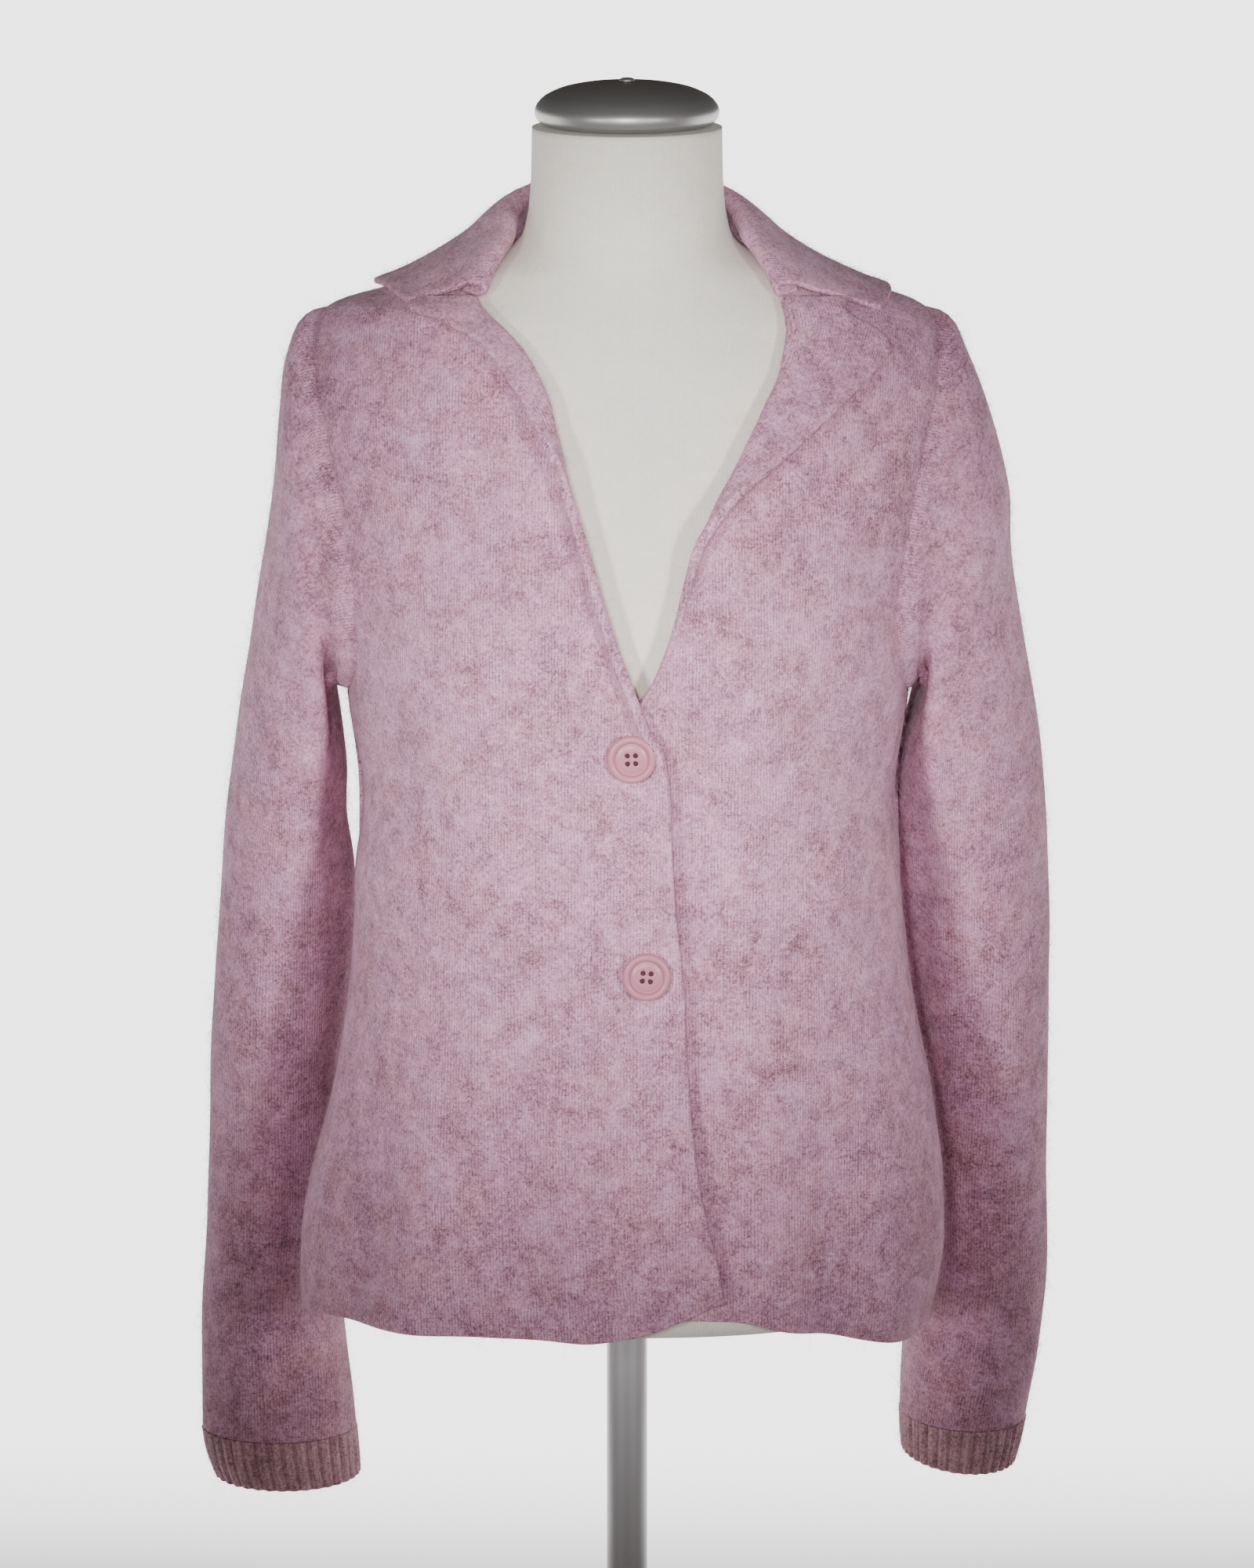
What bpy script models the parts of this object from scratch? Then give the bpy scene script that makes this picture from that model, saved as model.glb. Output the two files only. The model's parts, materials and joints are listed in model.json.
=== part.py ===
"""A soft knitted cardigan with a notched collar, buttoned on a limbless dress form on a round foot."""
import math

import bmesh
import bpy
import mathutils
import numpy as np

MM = 0.001
CLOTH = 2.4
SEAM = 0.4
HALF_SEAM = 0.5 * SEAM
TURN_LENGTH = 8.0
BAND_RAISE = 0.5
UNDERLAP = 3.4
GORGE_DROP = 4.0
LEAF_RISE = 0.4
FORM_GAP = 1.1
BUTTON_GAP = 0.35

# The garment's outer surface as level sections in millimetres
BODY_COLUMNS = ("height", "right", "left", "front", "back", "side_power", "depth_power")
BODY = (
    (190, 174, 160, 132, 122, 2.30, 2.20),
    (215, 177, 168, 132, 121, 2.30, 2.20),
    (245, 176, 172, 130, 120, 2.30, 2.20),
    (280, 170, 170.5, 128, 117, 2.30, 2.20),
    (320, 160, 165, 126.5, 112, 2.30, 2.20),
    (360, 152, 157, 125.5, 106, 2.30, 2.20),
    (400, 147, 150.5, 125.5, 101, 2.30, 2.20),
    (445, 145, 146.5, 126.5, 98, 2.30, 2.20),
    (490, 144, 145.5, 129, 100, 2.30, 2.20),
    (530, 148, 149, 131.5, 105, 2.30, 2.20),
    (560, 153, 153.5, 132.5, 109, 2.30, 2.20),
    (585, 157, 157, 130, 112, 2.30, 2.20),
    (620, 162, 162, 122, 114, 2.20, 2.20),
    (650, 166, 166, 113, 114.5, 2.20, 2.20),
    (680, 169, 169, 104, 113, 2.20, 2.15),
    (700, 171, 171, 97, 110, 2.15, 2.05),
    (718, 171.5, 171.5, 89.5, 105, 2.10, 1.90),
    (732, 168.5, 168.5, 82, 98, 2.05, 1.80),
    (742, 164, 164, 75.5, 90, 2.00, 1.70),
    (750, 155, 155, 70.5, 82, 2.00, 1.65),
    (757, 137, 137, 66, 75, 2.00, 1.65),
    (764, 115, 115, 62, 69, 2.00, 1.70),
    (771, 93, 93, 58.5, 64, 2.00, 1.85),
    (776, 77, 77, 56.8, 61, 2.00, 2.00),
    (781, 65.5, 65.5, 55.8, 58.5, 2.00, 2.00),
    (788, 58.5, 58.5, 54.8, 56.5, 2.00, 2.00),
    (800, 55.5, 55.5, 54, 54.5, 2.00, 2.00),
    (820, 54, 54, 53.3, 53.3, 2.00, 2.00),
    (870, 53.4, 53.4, 52.5, 52.5, 2.00, 2.00),
)
# Where the armhole leaves the side seam, as an angle round the body from the side
ARMHOLE_COLUMNS = ("height", "front_angle", "back_angle")
ARMHOLE = (
    (545, 0, 0),
    (548, 9, 9),
    (555, 15, 15),
    (570, 20.5, 20),
    (600, 25, 24),
    (640, 26, 25),
    (680, 23, 22),
    (710, 18, 17),
    (731, 11.5, 11),
    (742, 6, 6),
    (748, 0, 0),
)
# The right front laps over: seen edge, turn of its edge in degrees and width of the turned-back leaf
FRONT_COLUMNS = ("height", "edge", "turn", "leaf", "band_seam")
FRONT_RIGHT = (
    (200, 50, 0, 4, -12),
    (243, 52.7, 0, 4, -12),
    (262, 48.5, 0, 4, -12),
    (275, 44.8, 0, 4, -12),
    (292, 39.9, 0, 4, -12.3),
    (327, 34.9, 0, 4, -12.6),
    (375, 31.1, 0, 4, -13),
    (416, 29.4, 0, 4, -13.5),
    (455, 24.8, 0, 4, -15),
    (500, 22.7, 6, 4, -18.5),
    (521, 21.5, 12, 4, -21),
    (535, 18.2, 20, 4, -23),
    (549, 9.7, 32, 4, -27),
    (561, 5.9, 44, 4, -31),
    (577, -1.6, 55, 4, -36),
    (603, -10.3, 75, 4, -45),
    (635, -19, 105, 5, -54),
    (655, -25, 130, 5, -60),
    (672, -29.6, 150, 6, -66),
    (696, -36.5, 172, 9, -74),
    (711, -39.8, 180, 12, -79),
    (720, -43.8, 180, 15, -84),
    (729, -49, 180, 17, -89),
    (738, -57, 180, 20, -96),
    (745, -65, 180, 27, -102),
    (752, -73, 180, 34, -107),
    (757.5, -76.5, 180, 20, -110),
    (764, -76, 180, 20, -100),
    (771, -75, 180, 20, -88),
    (790, -74, 180, 20, -80),
)
FRONT_LEFT = (
    (200, -20, 0, 4, 59),
    (243, -20, 0, 4, 60),
    (262, -20, 0, 4, 56),
    (292, -19, 0, 4, 48),
    (327, -18.5, 0, 4, 43),
    (375, -18, 0, 4, 39),
    (416, -18, 0, 4, 37),
    (455, -17, 0, 4, 33),
    (500, -16, 0, 4, 31),
    (530, -12, 0, 4, 30),
    (545, -4, 0, 4, 32),
    (559, 5.9, 0, 4, 36),
    (565, 10.3, 2, 4, 39),
    (574, 14.6, 6, 4, 43),
    (584, 19, 12, 4, 48),
    (596, 23.4, 22, 4, 54),
    (607, 26.5, 35, 4, 58),
    (620, 29.5, 52, 4, 62),
    (633, 32.4, 75, 4, 67),
    (644, 36.8, 100, 5, 72),
    (652, 40.5, 120, 6, 77),
    (663, 47.4, 145, 9, 84),
    (675, 54.3, 165, 16, 91),
    (686, 61.2, 178, 24, 98),
    (700, 67, 180, 36, 104),
    (714, 74, 180, 48, 111),
    (722, 77.6, 180, 55, 115),
    (732, 79.8, 180, 62, 118),
    (743, 81.8, 180, 42, 119),
    (752, 80.8, 180, 27, 117),
    (757.5, 79, 180, 26, 115),
    (764, 77, 180, 20, 100),
    (771, 75, 180, 20, 88),
    (790, 74, 180, 20, 80),
)
HEM_COLUMNS = ("across", "height")
HEM_RIGHT = (
    (-179, 203), (-163, 212), (-150, 214.5), (-125, 214.5), (-83, 217), (-41, 216), (0, 217.7),
    (15.6, 223), (28.4, 227.5), (37.9, 231.8), (48.6, 240), (52.7, 243.3),
)
HEM_LEFT = (
    (-25, 227), (28.8, 227.5), (55.6, 226), (74, 223.7), (82.6, 219.3), (103.5, 215),
    (124.7, 208), (135.5, 204.4), (146.6, 201.5), (156, 200), (172, 200),
)
HEM_BACK = ((-179, 203), (-120, 206), (0, 207), (120, 204), (172, 200))
HEM_NOMINAL = 214.0
HEM_FADE = 325.0
# Level rows of the panels
LOW_ROWS = (214, 236, 262, 292, 325, 365, 405, 445, 485, 520)
ARM_ROWS = (545, 548, 555, 570, 600, 640, 680, 710, 731, 742, 748)
FRONT_EXTRA = (536, 585, 620, 660, 695, 720, 737, 752)
GORGE_ROW = 757.5
SHOULDER_ROWS = (763, 769.5, 776)
PANEL_COLUMNS = 7
TURN_STEPS = 4
LEAF_STEPS = 3
BACK_COLUMNS = 18
# Sleeve sections: outer and inner points seen from the front, middle in depth and half depth
SLEEVE_COLUMNS = ("out_x", "out_z", "in_x", "in_z", "mid_y", "half_y", "blend")
SLEEVE_RIGHT = (
    (171, 747, 155, 545, 0, 42, 0.08),
    (180, 735, 156.5, 542, 1, 45, 0.35),
    (184.5, 713, 157.5, 538, 2, 48, 0.7),
    (186, 688, 158, 532, 3, 51, 0.92),
    (188, 655, 157.5, 524, 5, 52.5, 1.0),
    (193, 617, 156, 512, 9, 52, 1.0),
    (200, 577, 153.5, 495, 15, 51, 1.0),
    (207.5, 535, 151, 470, 22, 49.5, 1.0),
    (214, 490, 150, 440, 31, 47.5, 1.0),
    (219.5, 443, 150, 405, 40, 46, 1.0),
    (223.5, 395, 152, 368, 49, 45, 1.0),
    (226.5, 347, 156, 330, 58, 44, 1.0),
    (229, 300, 159.5, 292, 66, 43, 1.0),
    (231.5, 253, 161, 250, 74, 42, 1.0),
    (234, 206, 159.5, 206, 79, 41.5, 1.0),
    (236.5, 160, 155, 160, 79, 40.5, 1.0),
    (236, 112, 150.5, 112, 77, 40, 1.0),
)
SLEEVE_LEFT = (
    (171, 747, 155, 545, 0, 42, 0.08),
    (180, 735, 156.5, 542, 1, 45, 0.35),
    (187, 712, 157.5, 538, 2, 48, 0.7),
    (196.5, 681, 158, 532, 3, 51, 0.92),
    (203.5, 650, 157, 524, 5, 52.5, 1.0),
    (204.5, 622, 154, 512, 9, 52, 1.0),
    (211.5, 577, 150, 495, 15, 51, 1.0),
    (219, 535, 147, 470, 22, 49.5, 1.0),
    (225, 490, 145.5, 440, 31, 48, 1.0),
    (228, 443, 148, 405, 40, 47, 1.0),
    (230.5, 395, 152.5, 368, 49, 47, 1.0),
    (231, 347, 158, 330, 58, 46.5, 1.0),
    (231, 300, 162.5, 292, 67, 46, 1.0),
    (231.5, 253, 161.5, 250, 76, 45.5, 1.0),
    (233, 206, 157, 206, 82, 45, 1.0),
    (229, 162, 153, 162, 81, 45, 1.0),
    (221.5, 118, 151.5, 122, 78, 45, 1.0),
)
CUFF_COLUMNS = ("out_x", "out_z", "in_x", "in_z", "mid_y", "half_y")
CUFF_RIGHT = (
    (236, 111.5, 150.5, 111.5, 77, 40),
    (233.5, 97, 149.3, 97, 76.5, 39.6),
    (228.5, 83.5, 148.6, 84.5, 76, 39),
)
CUFF_LEFT = (
    (221.5, 117.5, 151.5, 121.5, 78, 45),
    (219, 104.5, 152, 110, 77.5, 44.6),
    (215.5, 92, 153, 98.5, 77, 44),
)
CUFF_RIBS = 35
RIB_RAISE = 0.9
# Collar sections, from the centre back to the front end
COLLAR_COLUMNS = (
    "base_x", "base_y", "crest_x", "crest_y", "crest_z", "edge_x", "edge_y", "edge_lift", "roll",
)
COLLAR_RIGHT = (
    (0, 61.5, 0, 59.5, 811, 0, 94, 2.4, 4.4),
    (20, 59, 19, 57, 811, 34, 91, 2.4, 4.4),
    (40, 52.5, 36.5, 49.5, 810, 68, 81, 2.4, 4.4),
    (58, 41, 50, 36.5, 808, 99, 64, 3.2, 4.6),
    (70.5, 25, 60, 20.5, 804, 122, 42, 3.6, 5.0),
    (77, 6.5, 63.5, 3, 798, 134, 20, 4.0, 5.0),
    (80, -12, 64.5, -14, 789, 132.5, 6, 2.8, 4.0),
    (82.5, -25, 69, -28.5, 781.5, 130, -8, 3.2, 3.7),
    (84, -34.5, 73.5, -40, 773.5, 125.5, -21, 3.6, 3.3),
    (85.5, -43, 77.8, -48.8, 766, 119.5, -31.5, 4.0, 2.9),
)
COLLAR_LEFT = (
    (0, 61.5, 0, 59.5, 811, 0, 94, 2.4, 4.4),
    (20, 59, 19, 57, 811, 34, 91, 2.4, 4.4),
    (40, 52.5, 36.5, 49.5, 810, 68, 81, 2.4, 4.4),
    (58, 41, 49.5, 37, 807, 98, 64, 2.4, 4.4),
    (70.5, 25, 58.5, 21.5, 802, 123, 42, 2.4, 4.4),
    (77, 6.5, 62.5, 3, 796, 136, 20, 2.4, 4.3),
    (80, -12, 66, -14, 789, 143, 5, 2.8, 4.0),
    (84, -25, 71.5, -28.5, 781.5, 146, -7, 3.2, 3.7),
    (87, -34.5, 76.5, -39.5, 774, 143.5, -18, 3.6, 3.3),
    (89, -43.5, 81.5, -48.5, 766.5, 139, -27.5, 4.0, 2.9),
)
ROLL_STEPS = 5
FALL_STEPS = 3
COLLAR_BASE_LIFT = 2.5
# Dress form
FORM_BOTTOM = 217.0
FORM_TOP = 843.0
FORM_ROWS = (
    217.0, 225, 250, 290, 340, 400, 450, 500, 540, 575, 610, 645, 675, 700, 718, 731, 742, 750,
    757, 764, 770, 775, 779, 783, 789, 800, 820, 843.0,
)
FORM_COLUMNS = 28
CAP_PROFILE = (
    (0, 867), (12, 866.7), (26, 865.2), (38, 862), (45.5, 857.5), (48.6, 852.5), (48, 848), (44.5, 844.8),
    (39, 843.6), (0, 843.6),
)
CAP_DEPTH_SCALE = 1.03
CAP_SCREW_RADIUS = 4.0
CAP_SCREW_TOP = 868.8
CAP_SCREW_FOOT = 867.3
POLE_RADIUS = 11.0
BASE_RADIUS = 130.0
BASE_HEIGHT = 9.0
BASE_PROFILE = ((0, 9), (126, 9), (129.2, 7.6), (130, 5), (130, 1.2), (129, 0), (0, 0))
# Buttons: across, height and turn in degrees
BUTTONS = (("button_upper", 2.4, 530.4, 2.0), ("button_lower", 10.2, 413.4, -5.0))
BUTTON_PROFILE = (
    (0, 3.0), (7.6, 3.0), (8.6, 3.4), (9.6, 4.3), (11.0, 4.5), (12.2, 3.9), (12.7, 2.7), (12.3, 1.2),
    (11.0, 0.3), (9.5, 0.0), (0, 0.0),
)
BUTTON_HOLE_RADIUS = 1.1
BUTTON_HOLE_STEP = 4.2

MATERIALS = {
    "mauve_knit": ((0.47, 0.30, 0.37, 1.0), 0.95, 0.0),
    "cream_jersey": ((0.66, 0.64, 0.58, 1.0), 0.9, 0.0),
    "grey_metal": ((0.45, 0.46, 0.47, 1.0), 0.35, 1.0),
    "pink_plastic": ((0.52, 0.30, 0.33, 1.0), 0.4, 0.0),
    "steel": ((0.55, 0.55, 0.56, 1.0), 0.3, 1.0),
}


def smooth_curve(rows, column):
    """A smooth curve through one column of a table that never overshoots its rows."""
    table = np.asarray(rows, float)
    across, values = table[:, 0], table[:, column]
    steps = np.diff(across)
    slopes = np.diff(values) / steps
    tangents = np.zeros_like(values)
    for index in range(1, len(values) - 1):
        before, after = slopes[index - 1], slopes[index]
        if before * after > 0:
            tangents[index] = 2.0 * before * after / (before + after)
    tangents[0], tangents[-1] = slopes[0], slopes[-1]

    def value(position):
        position = min(max(position, across[0]), across[-1])
        index = min(max(int(np.searchsorted(across, position, side="right")) - 1, 0), len(steps) - 1)
        step = steps[index]
        t = (position - across[index]) / step
        start = (2 * t**3 - 3 * t**2 + 1) * values[index] + (t**3 - 2 * t**2 + t) * step * tangents[index]
        end = (3 * t**2 - 2 * t**3) * values[index + 1] + (t**3 - t**2) * step * tangents[index + 1]
        return start + end

    return value


def ease(value, low, high):
    """Zero below low, one above high, smooth between."""
    t = min(max((value - low) / (high - low), 0.0), 1.0)
    return t * t * (3 - 2 * t)


SECTION = {name: smooth_curve(BODY, index) for index, name in enumerate(BODY_COLUMNS) if index}


def bust(across, height):
    return 8.0 * math.exp(-(((abs(across) - 72) / 42) ** 2)) * math.exp(-(((height - 575) / 55) ** 2))


def level(point):
    """How far outside the garment's outer surface a point is, as a ratio."""
    across, depth, height = point
    width = SECTION["right"](height) if across < 0 else SECTION["left"](height)
    if depth < 0:
        depth = min(depth + bust(across, height), 0.0)
        reach = SECTION["front"](height)
    else:
        reach = SECTION["back"](height)
    side = (abs(across) / width) ** SECTION["side_power"](height)
    return side + (abs(depth) / reach) ** SECTION["depth_power"](height) - 1.0


def outward(point):
    """Unit direction straight off the garment's surface."""
    grad = np.zeros(3)
    for axis in range(3):
        step = np.zeros(3)
        step[axis] = 0.4
        grad[axis] = level(point + step) - level(point - step)
    return grad / np.linalg.norm(grad)


def body_point(angle, height, back=False):
    """A point of the outer surface: angle 0 is the wearer's right side, 180 the left one."""
    c, s = math.cos(math.radians(angle)), abs(math.sin(math.radians(angle)))
    width = SECTION["right"](height) if c > 0 else SECTION["left"](height)
    across = -math.copysign(width * abs(c) ** (2.0 / SECTION["side_power"](height)), c)
    if back:
        reach = SECTION["back"](height)
        return np.array([across, reach * s ** (2.0 / SECTION["depth_power"](height)), height])
    depth = SECTION["front"](height) * s ** (2.0 / SECTION["depth_power"](height))
    return np.array([across, -depth - bust(across, height) * min(1.0, 3.0 * s), height])


def angle_at(across, height):
    width = SECTION["right"](height) if across < 0 else SECTION["left"](height)
    ratio = min(abs(across) / width, 1.0) ** (0.5 * SECTION["side_power"](height))
    return math.degrees(math.acos(math.copysign(ratio, -across)))


def surface_height(across, depth):
    """Height of the shoulders at a place seen from above."""
    low, high = 560.0, 860.0
    for _ in range(40):
        middle = 0.5 * (low + high)
        if level(np.array([across, depth, middle])) < 0:
            low = middle
        else:
            high = middle
    return 0.5 * (low + high)


def lifted(angle, height, lift, back=False):
    point = body_point(angle, height, back)
    return point + outward(point) * lift


def even_angles(start, end, height, count, back=False):
    """Angles that cut a level row into pieces of even length."""
    fine = np.linspace(start, end, 61)
    points = np.array([body_point(a, height, back) for a in fine])
    lengths = np.concatenate([[0], np.cumsum(np.linalg.norm(np.diff(points, axis=0), axis=1))])
    return np.interp(np.linspace(0, lengths[-1], count + 1), lengths, fine)


def step_angle(angle, height, distance, back=False):
    """Angle moved along a level row by a distance in millimetres."""
    probe = 0.5 if angle < 90 else -0.5
    length = np.linalg.norm(body_point(angle + probe, height, back) - body_point(angle, height, back))
    return angle + distance * abs(probe) / max(length, 1e-6)


def grid_normals(grid):
    """Unit directions straight off a net of points."""
    normals = np.zeros_like(grid)
    rows, columns = grid.shape[:2]
    for i in range(rows):
        for j in range(columns):
            along = grid[i, min(j + 1, columns - 1)] - grid[i, max(j - 1, 0)]
            up = grid[min(i + 1, rows - 1), j] - grid[max(i - 1, 0), j]
            normal = np.cross(along, up)
            normals[i, j] = normal / max(np.linalg.norm(normal), 1e-9)
    return normals


def ring_normals(grid):
    """Unit directions off a net that closes on itself round each row."""
    normals = np.zeros_like(grid)
    rows, columns = grid.shape[:2]
    for i in range(rows):
        for j in range(columns):
            along = grid[i, (j + 1) % columns] - grid[i, (j - 1) % columns]
            up = grid[min(i + 1, rows - 1), j] - grid[max(i - 1, 0), j]
            normal = np.cross(along, up)
            normals[i, j] = normal / max(np.linalg.norm(normal), 1e-9)
    return normals


def new_object(name, bm, material):
    """Make a named object from a mesh, its faces turned outward."""
    bmesh.ops.remove_doubles(bm, verts=bm.verts, dist=0.00001)
    bmesh.ops.recalc_face_normals(bm, faces=bm.faces)
    mesh = bpy.data.meshes.new(name)
    bm.to_mesh(mesh)
    bm.free()
    if sum(p.area * p.normal.dot(p.center) for p in mesh.polygons) < 0:
        mesh.flip_normals()
    obj = bpy.data.objects.new(name, mesh)
    PARTS.objects.link(obj)
    mesh.materials.append(MATERIAL_SLOTS[material])
    return obj


def wall(name, outer, inner, material, closed=False, keep=None):
    """A closed wall between two nets of points."""
    rows, columns = outer.shape[:2]
    bm = bmesh.new()
    out = [[bm.verts.new(outer[i, j] * MM) for j in range(columns)] for i in range(rows)]
    ins = [[bm.verts.new(inner[i, j] * MM) for j in range(columns)] for i in range(rows)]
    spans = columns if closed else columns - 1
    cells = [(i, j) for i in range(rows - 1) for j in range(spans) if keep is None or keep(i, j)]
    borders = {}
    for i, j in cells:
        k = (j + 1) % columns
        corners = ((i, j), (i, k), (i + 1, k), (i + 1, j))
        for half in ((corners[0], corners[1], corners[2]), (corners[0], corners[2], corners[3])):
            bm.faces.new([out[a][b] for a, b in half])
            bm.faces.new([ins[a][b] for a, b in reversed(half)])
        for one, two in zip(corners, corners[1:] + corners[:1]):
            if (two, one) in borders:
                del borders[(two, one)]
            else:
                borders[(one, two)] = True
    for one, two in borders:
        quad = (out[one[0]][one[1]], ins[one[0]][one[1]], ins[two[0]][two[1]], out[two[0]][two[1]])
        bm.faces.new(quad)
    loose = [v for v in bm.verts if not v.link_faces]
    bmesh.ops.delete(bm, geom=loose, context="VERTS")
    return new_object(name, bm, material)


def turned(name, profile, material, steps=32, deep=1.0):
    """A round solid from a profile of radius and height, top to bottom."""
    mesh = bpy.data.meshes.new(name)
    mesh.from_pydata([(r * MM, 0, z * MM) for r, z in profile],
                     [(i, i + 1) for i in range(len(profile) - 1)], [])
    obj = bpy.data.objects.new(name, mesh)
    PARTS.objects.link(obj)
    screw = obj.modifiers.new("Turn", "SCREW")
    screw.steps = steps
    screw.render_steps = steps
    screw.use_merge_vertices = True
    screw.merge_threshold = 0.00002
    mesh.materials.append(MATERIAL_SLOTS[material])
    obj.scale = (1.0, deep, 1.0)
    return obj


def panel_rows():
    """Heights of a front panel's rows from the hem to the neck."""
    rows = sorted(set(LOW_ROWS + ARM_ROWS + FRONT_EXTRA))
    return rows + [GORGE_ROW] + list(SHOULDER_ROWS)


def front_panel(name, side, edge_table, hem_table, under):
    """One front with its lapel turned back, from the side seam to the opening."""
    edge = {key: smooth_curve(edge_table, index) for index, key in enumerate(FRONT_COLUMNS) if index}
    over_edge = smooth_curve(FRONT_RIGHT, 1)
    hem = smooth_curve(hem_table, 1)
    armhole = smooth_curve(ARMHOLE, 1)
    heights = panel_rows()
    columns = PANEL_COLUMNS + 3 + TURN_STEPS + LEAF_STEPS + 1
    middle = np.zeros((len(heights), columns, 3))
    normals = np.zeros_like(middle)
    raise_by = np.zeros((len(heights), columns))
    between = []

    def sink(across, height):
        if not under:
            return 0.0
        limit = over_edge(height)
        near = 1.0 - ease(across, limit + 9, limit + 38)
        return -UNDERLAP * near * (1.0 - ease(height, 572, 590))

    for i, nominal in enumerate(heights):
        fade = max(0.0, 1.0 - (nominal - HEM_NOMINAL) / (HEM_FADE - HEM_NOMINAL))
        seen_edge = edge["edge"](nominal)
        at_edge = nominal + (hem(seen_edge) - HEM_NOMINAL) * fade
        seen_edge = edge["edge"](at_edge)
        bend = math.radians(edge["turn"](at_edge))
        leaf = edge["leaf"](at_edge)
        radius = TURN_LENGTH / max(bend, 0.02)
        reach = radius * math.sin(min(max(bend, 0.02), math.pi / 2)) + leaf * max(math.cos(bend), 0.0)
        if bend > 0.7:
            reach += 0.5 * CLOTH * ease(bend, 0.7, 1.5)
        if nominal > GORGE_ROW:
            reach = 0.0
        start_x = seen_edge - reach * (1 if side < 0 else -1)
        seam_x = edge["band_seam"](at_edge)
        room = 6.0 if nominal <= GORGE_ROW else 0.5 * (body_point(0, nominal)[0] * -1 - abs(start_x))
        seam_x = min(seam_x, start_x - room) if side < 0 else max(seam_x, start_x + room)
        if nominal > GORGE_ROW:
            seam_x = start_x + room * side
        side_angle = armhole(nominal)
        if side < 0:
            ends = (side_angle, angle_at(seam_x, nominal), angle_at(start_x, at_edge))
        else:
            ends = (180 - side_angle, angle_at(seam_x, nominal), angle_at(start_x, at_edge))
        main = even_angles(ends[0], ends[1], nominal, PANEL_COLUMNS)
        band = np.linspace(ends[1], ends[2], 4)[1:]
        for j, angle in enumerate(list(main) + list(band)):
            if j == 0:
                angle = step_angle(angle, nominal, HALF_SEAM if side < 0 else -HALF_SEAM)
            across = body_point(angle, nominal)[0]
            height = nominal + (hem(across) - HEM_NOMINAL) * fade
            lift = sink(across, height)
            middle[i, j] = lifted(angle, height, lift - 0.5 * CLOTH)
            normals[i, j] = outward(middle[i, j])
            if j > PANEL_COLUMNS and not under:
                raise_by[i, j] = BAND_RAISE * (1.0 - ease(at_edge, 500, 545))
        if ARM_ROWS[0] < nominal < ARM_ROWS[-1] and nominal not in ARM_ROWS:
            between.append(i)
        last = PANEL_COLUMNS + 3
        raise_by[i, last:] = raise_by[i, last]
        base, up = middle[i, last], normals[i, last]
        ahead = base - middle[i, last - 1]
        ahead = ahead - up * np.dot(ahead, up)
        ahead = ahead / np.linalg.norm(ahead)
        for k in range(1, TURN_STEPS + 1):
            angle = bend * k / TURN_STEPS
            if bend < 0.03:
                middle[i, last + k] = base + ahead * TURN_LENGTH * k / TURN_STEPS
            else:
                rise = radius * (1 - math.cos(angle))
                middle[i, last + k] = base + ahead * radius * math.sin(angle) + up * rise
            normals[i, last + k] = up * math.cos(angle) - ahead * math.sin(angle)
        tip = middle[i, last + TURN_STEPS]
        away = ahead * math.cos(bend) + up * math.sin(bend)
        follow = ease(bend, math.radians(125), math.radians(175))
        for k in range(1, LEAF_STEPS + 1):
            run = leaf * k / LEAF_STEPS
            straight = tip + away * run
            down_angle = step_angle(angle_at(start_x, at_edge), at_edge, -run if side < 0 else run)
            drop = GORGE_DROP * ease(at_edge, 745, 757) * k / LEAF_STEPS
            lift = sink(start_x, at_edge) - 0.5 * CLOTH + 2 * radius + LEAF_RISE * k
            lay = lifted(down_angle, at_edge - drop, lift)
            middle[i, last + TURN_STEPS + k] = straight * (1 - follow) + lay * follow
            flat = -outward(lay)
            normal = normals[i, last + TURN_STEPS] * (1 - follow) + flat * follow
            normals[i, last + TURN_STEPS + k] = normal / np.linalg.norm(normal)
        if nominal > GORGE_ROW:
            for k in range(1, TURN_STEPS + LEAF_STEPS + 1):
                middle[i, last + k] = middle[i, last]
    for i in between:
        lower = max(k for k in range(i) if heights[k] in ARM_ROWS)
        upper = min(k for k in range(i, len(heights)) if heights[k] in ARM_ROWS)
        share = (heights[i] - heights[lower]) / (heights[upper] - heights[lower])
        middle[i, 0] = middle[lower, 0] * (1 - share) + middle[upper, 0] * share
    outer = middle + normals * (0.5 * CLOTH + raise_by)[:, :, None]
    inner = middle - normals * 0.5 * CLOTH
    gorge = heights.index(GORGE_ROW)
    limit = PANEL_COLUMNS + 3
    return wall(name, outer, inner, "mauve_knit", keep=lambda i, j: i < gorge or j < limit)


def back_panel():
    """The back, from side seam to side seam and up to the neck."""
    hem = smooth_curve(HEM_BACK, 1)
    armhole = smooth_curve(ARMHOLE, 2)
    heights = [h for h in LOW_ROWS] + list(ARM_ROWS) + [GORGE_ROW] + list(SHOULDER_ROWS)
    middle = np.zeros((len(heights), BACK_COLUMNS + 1, 3))
    normals = np.zeros_like(middle)
    for i, nominal in enumerate(heights):
        fade = max(0.0, 1.0 - (nominal - HEM_NOMINAL) / (HEM_FADE - HEM_NOMINAL))
        start = armhole(nominal)
        angles = even_angles(start, 180 - start, nominal, BACK_COLUMNS, back=True)
        for j, angle in enumerate(angles):
            if j == 0:
                angle = step_angle(angle, nominal, HALF_SEAM, back=True)
            if j == BACK_COLUMNS:
                angle = step_angle(angle, nominal, -HALF_SEAM, back=True)
            across = body_point(angle, nominal, True)[0]
            height = nominal + (hem(across) - HEM_NOMINAL) * fade
            middle[i, j] = lifted(angle, height, -0.5 * CLOTH, back=True)
            normals[i, j] = outward(middle[i, j])
    return wall("back", middle + normals * 0.5 * CLOTH, middle - normals * 0.5 * CLOTH, "mauve_knit")


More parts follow.
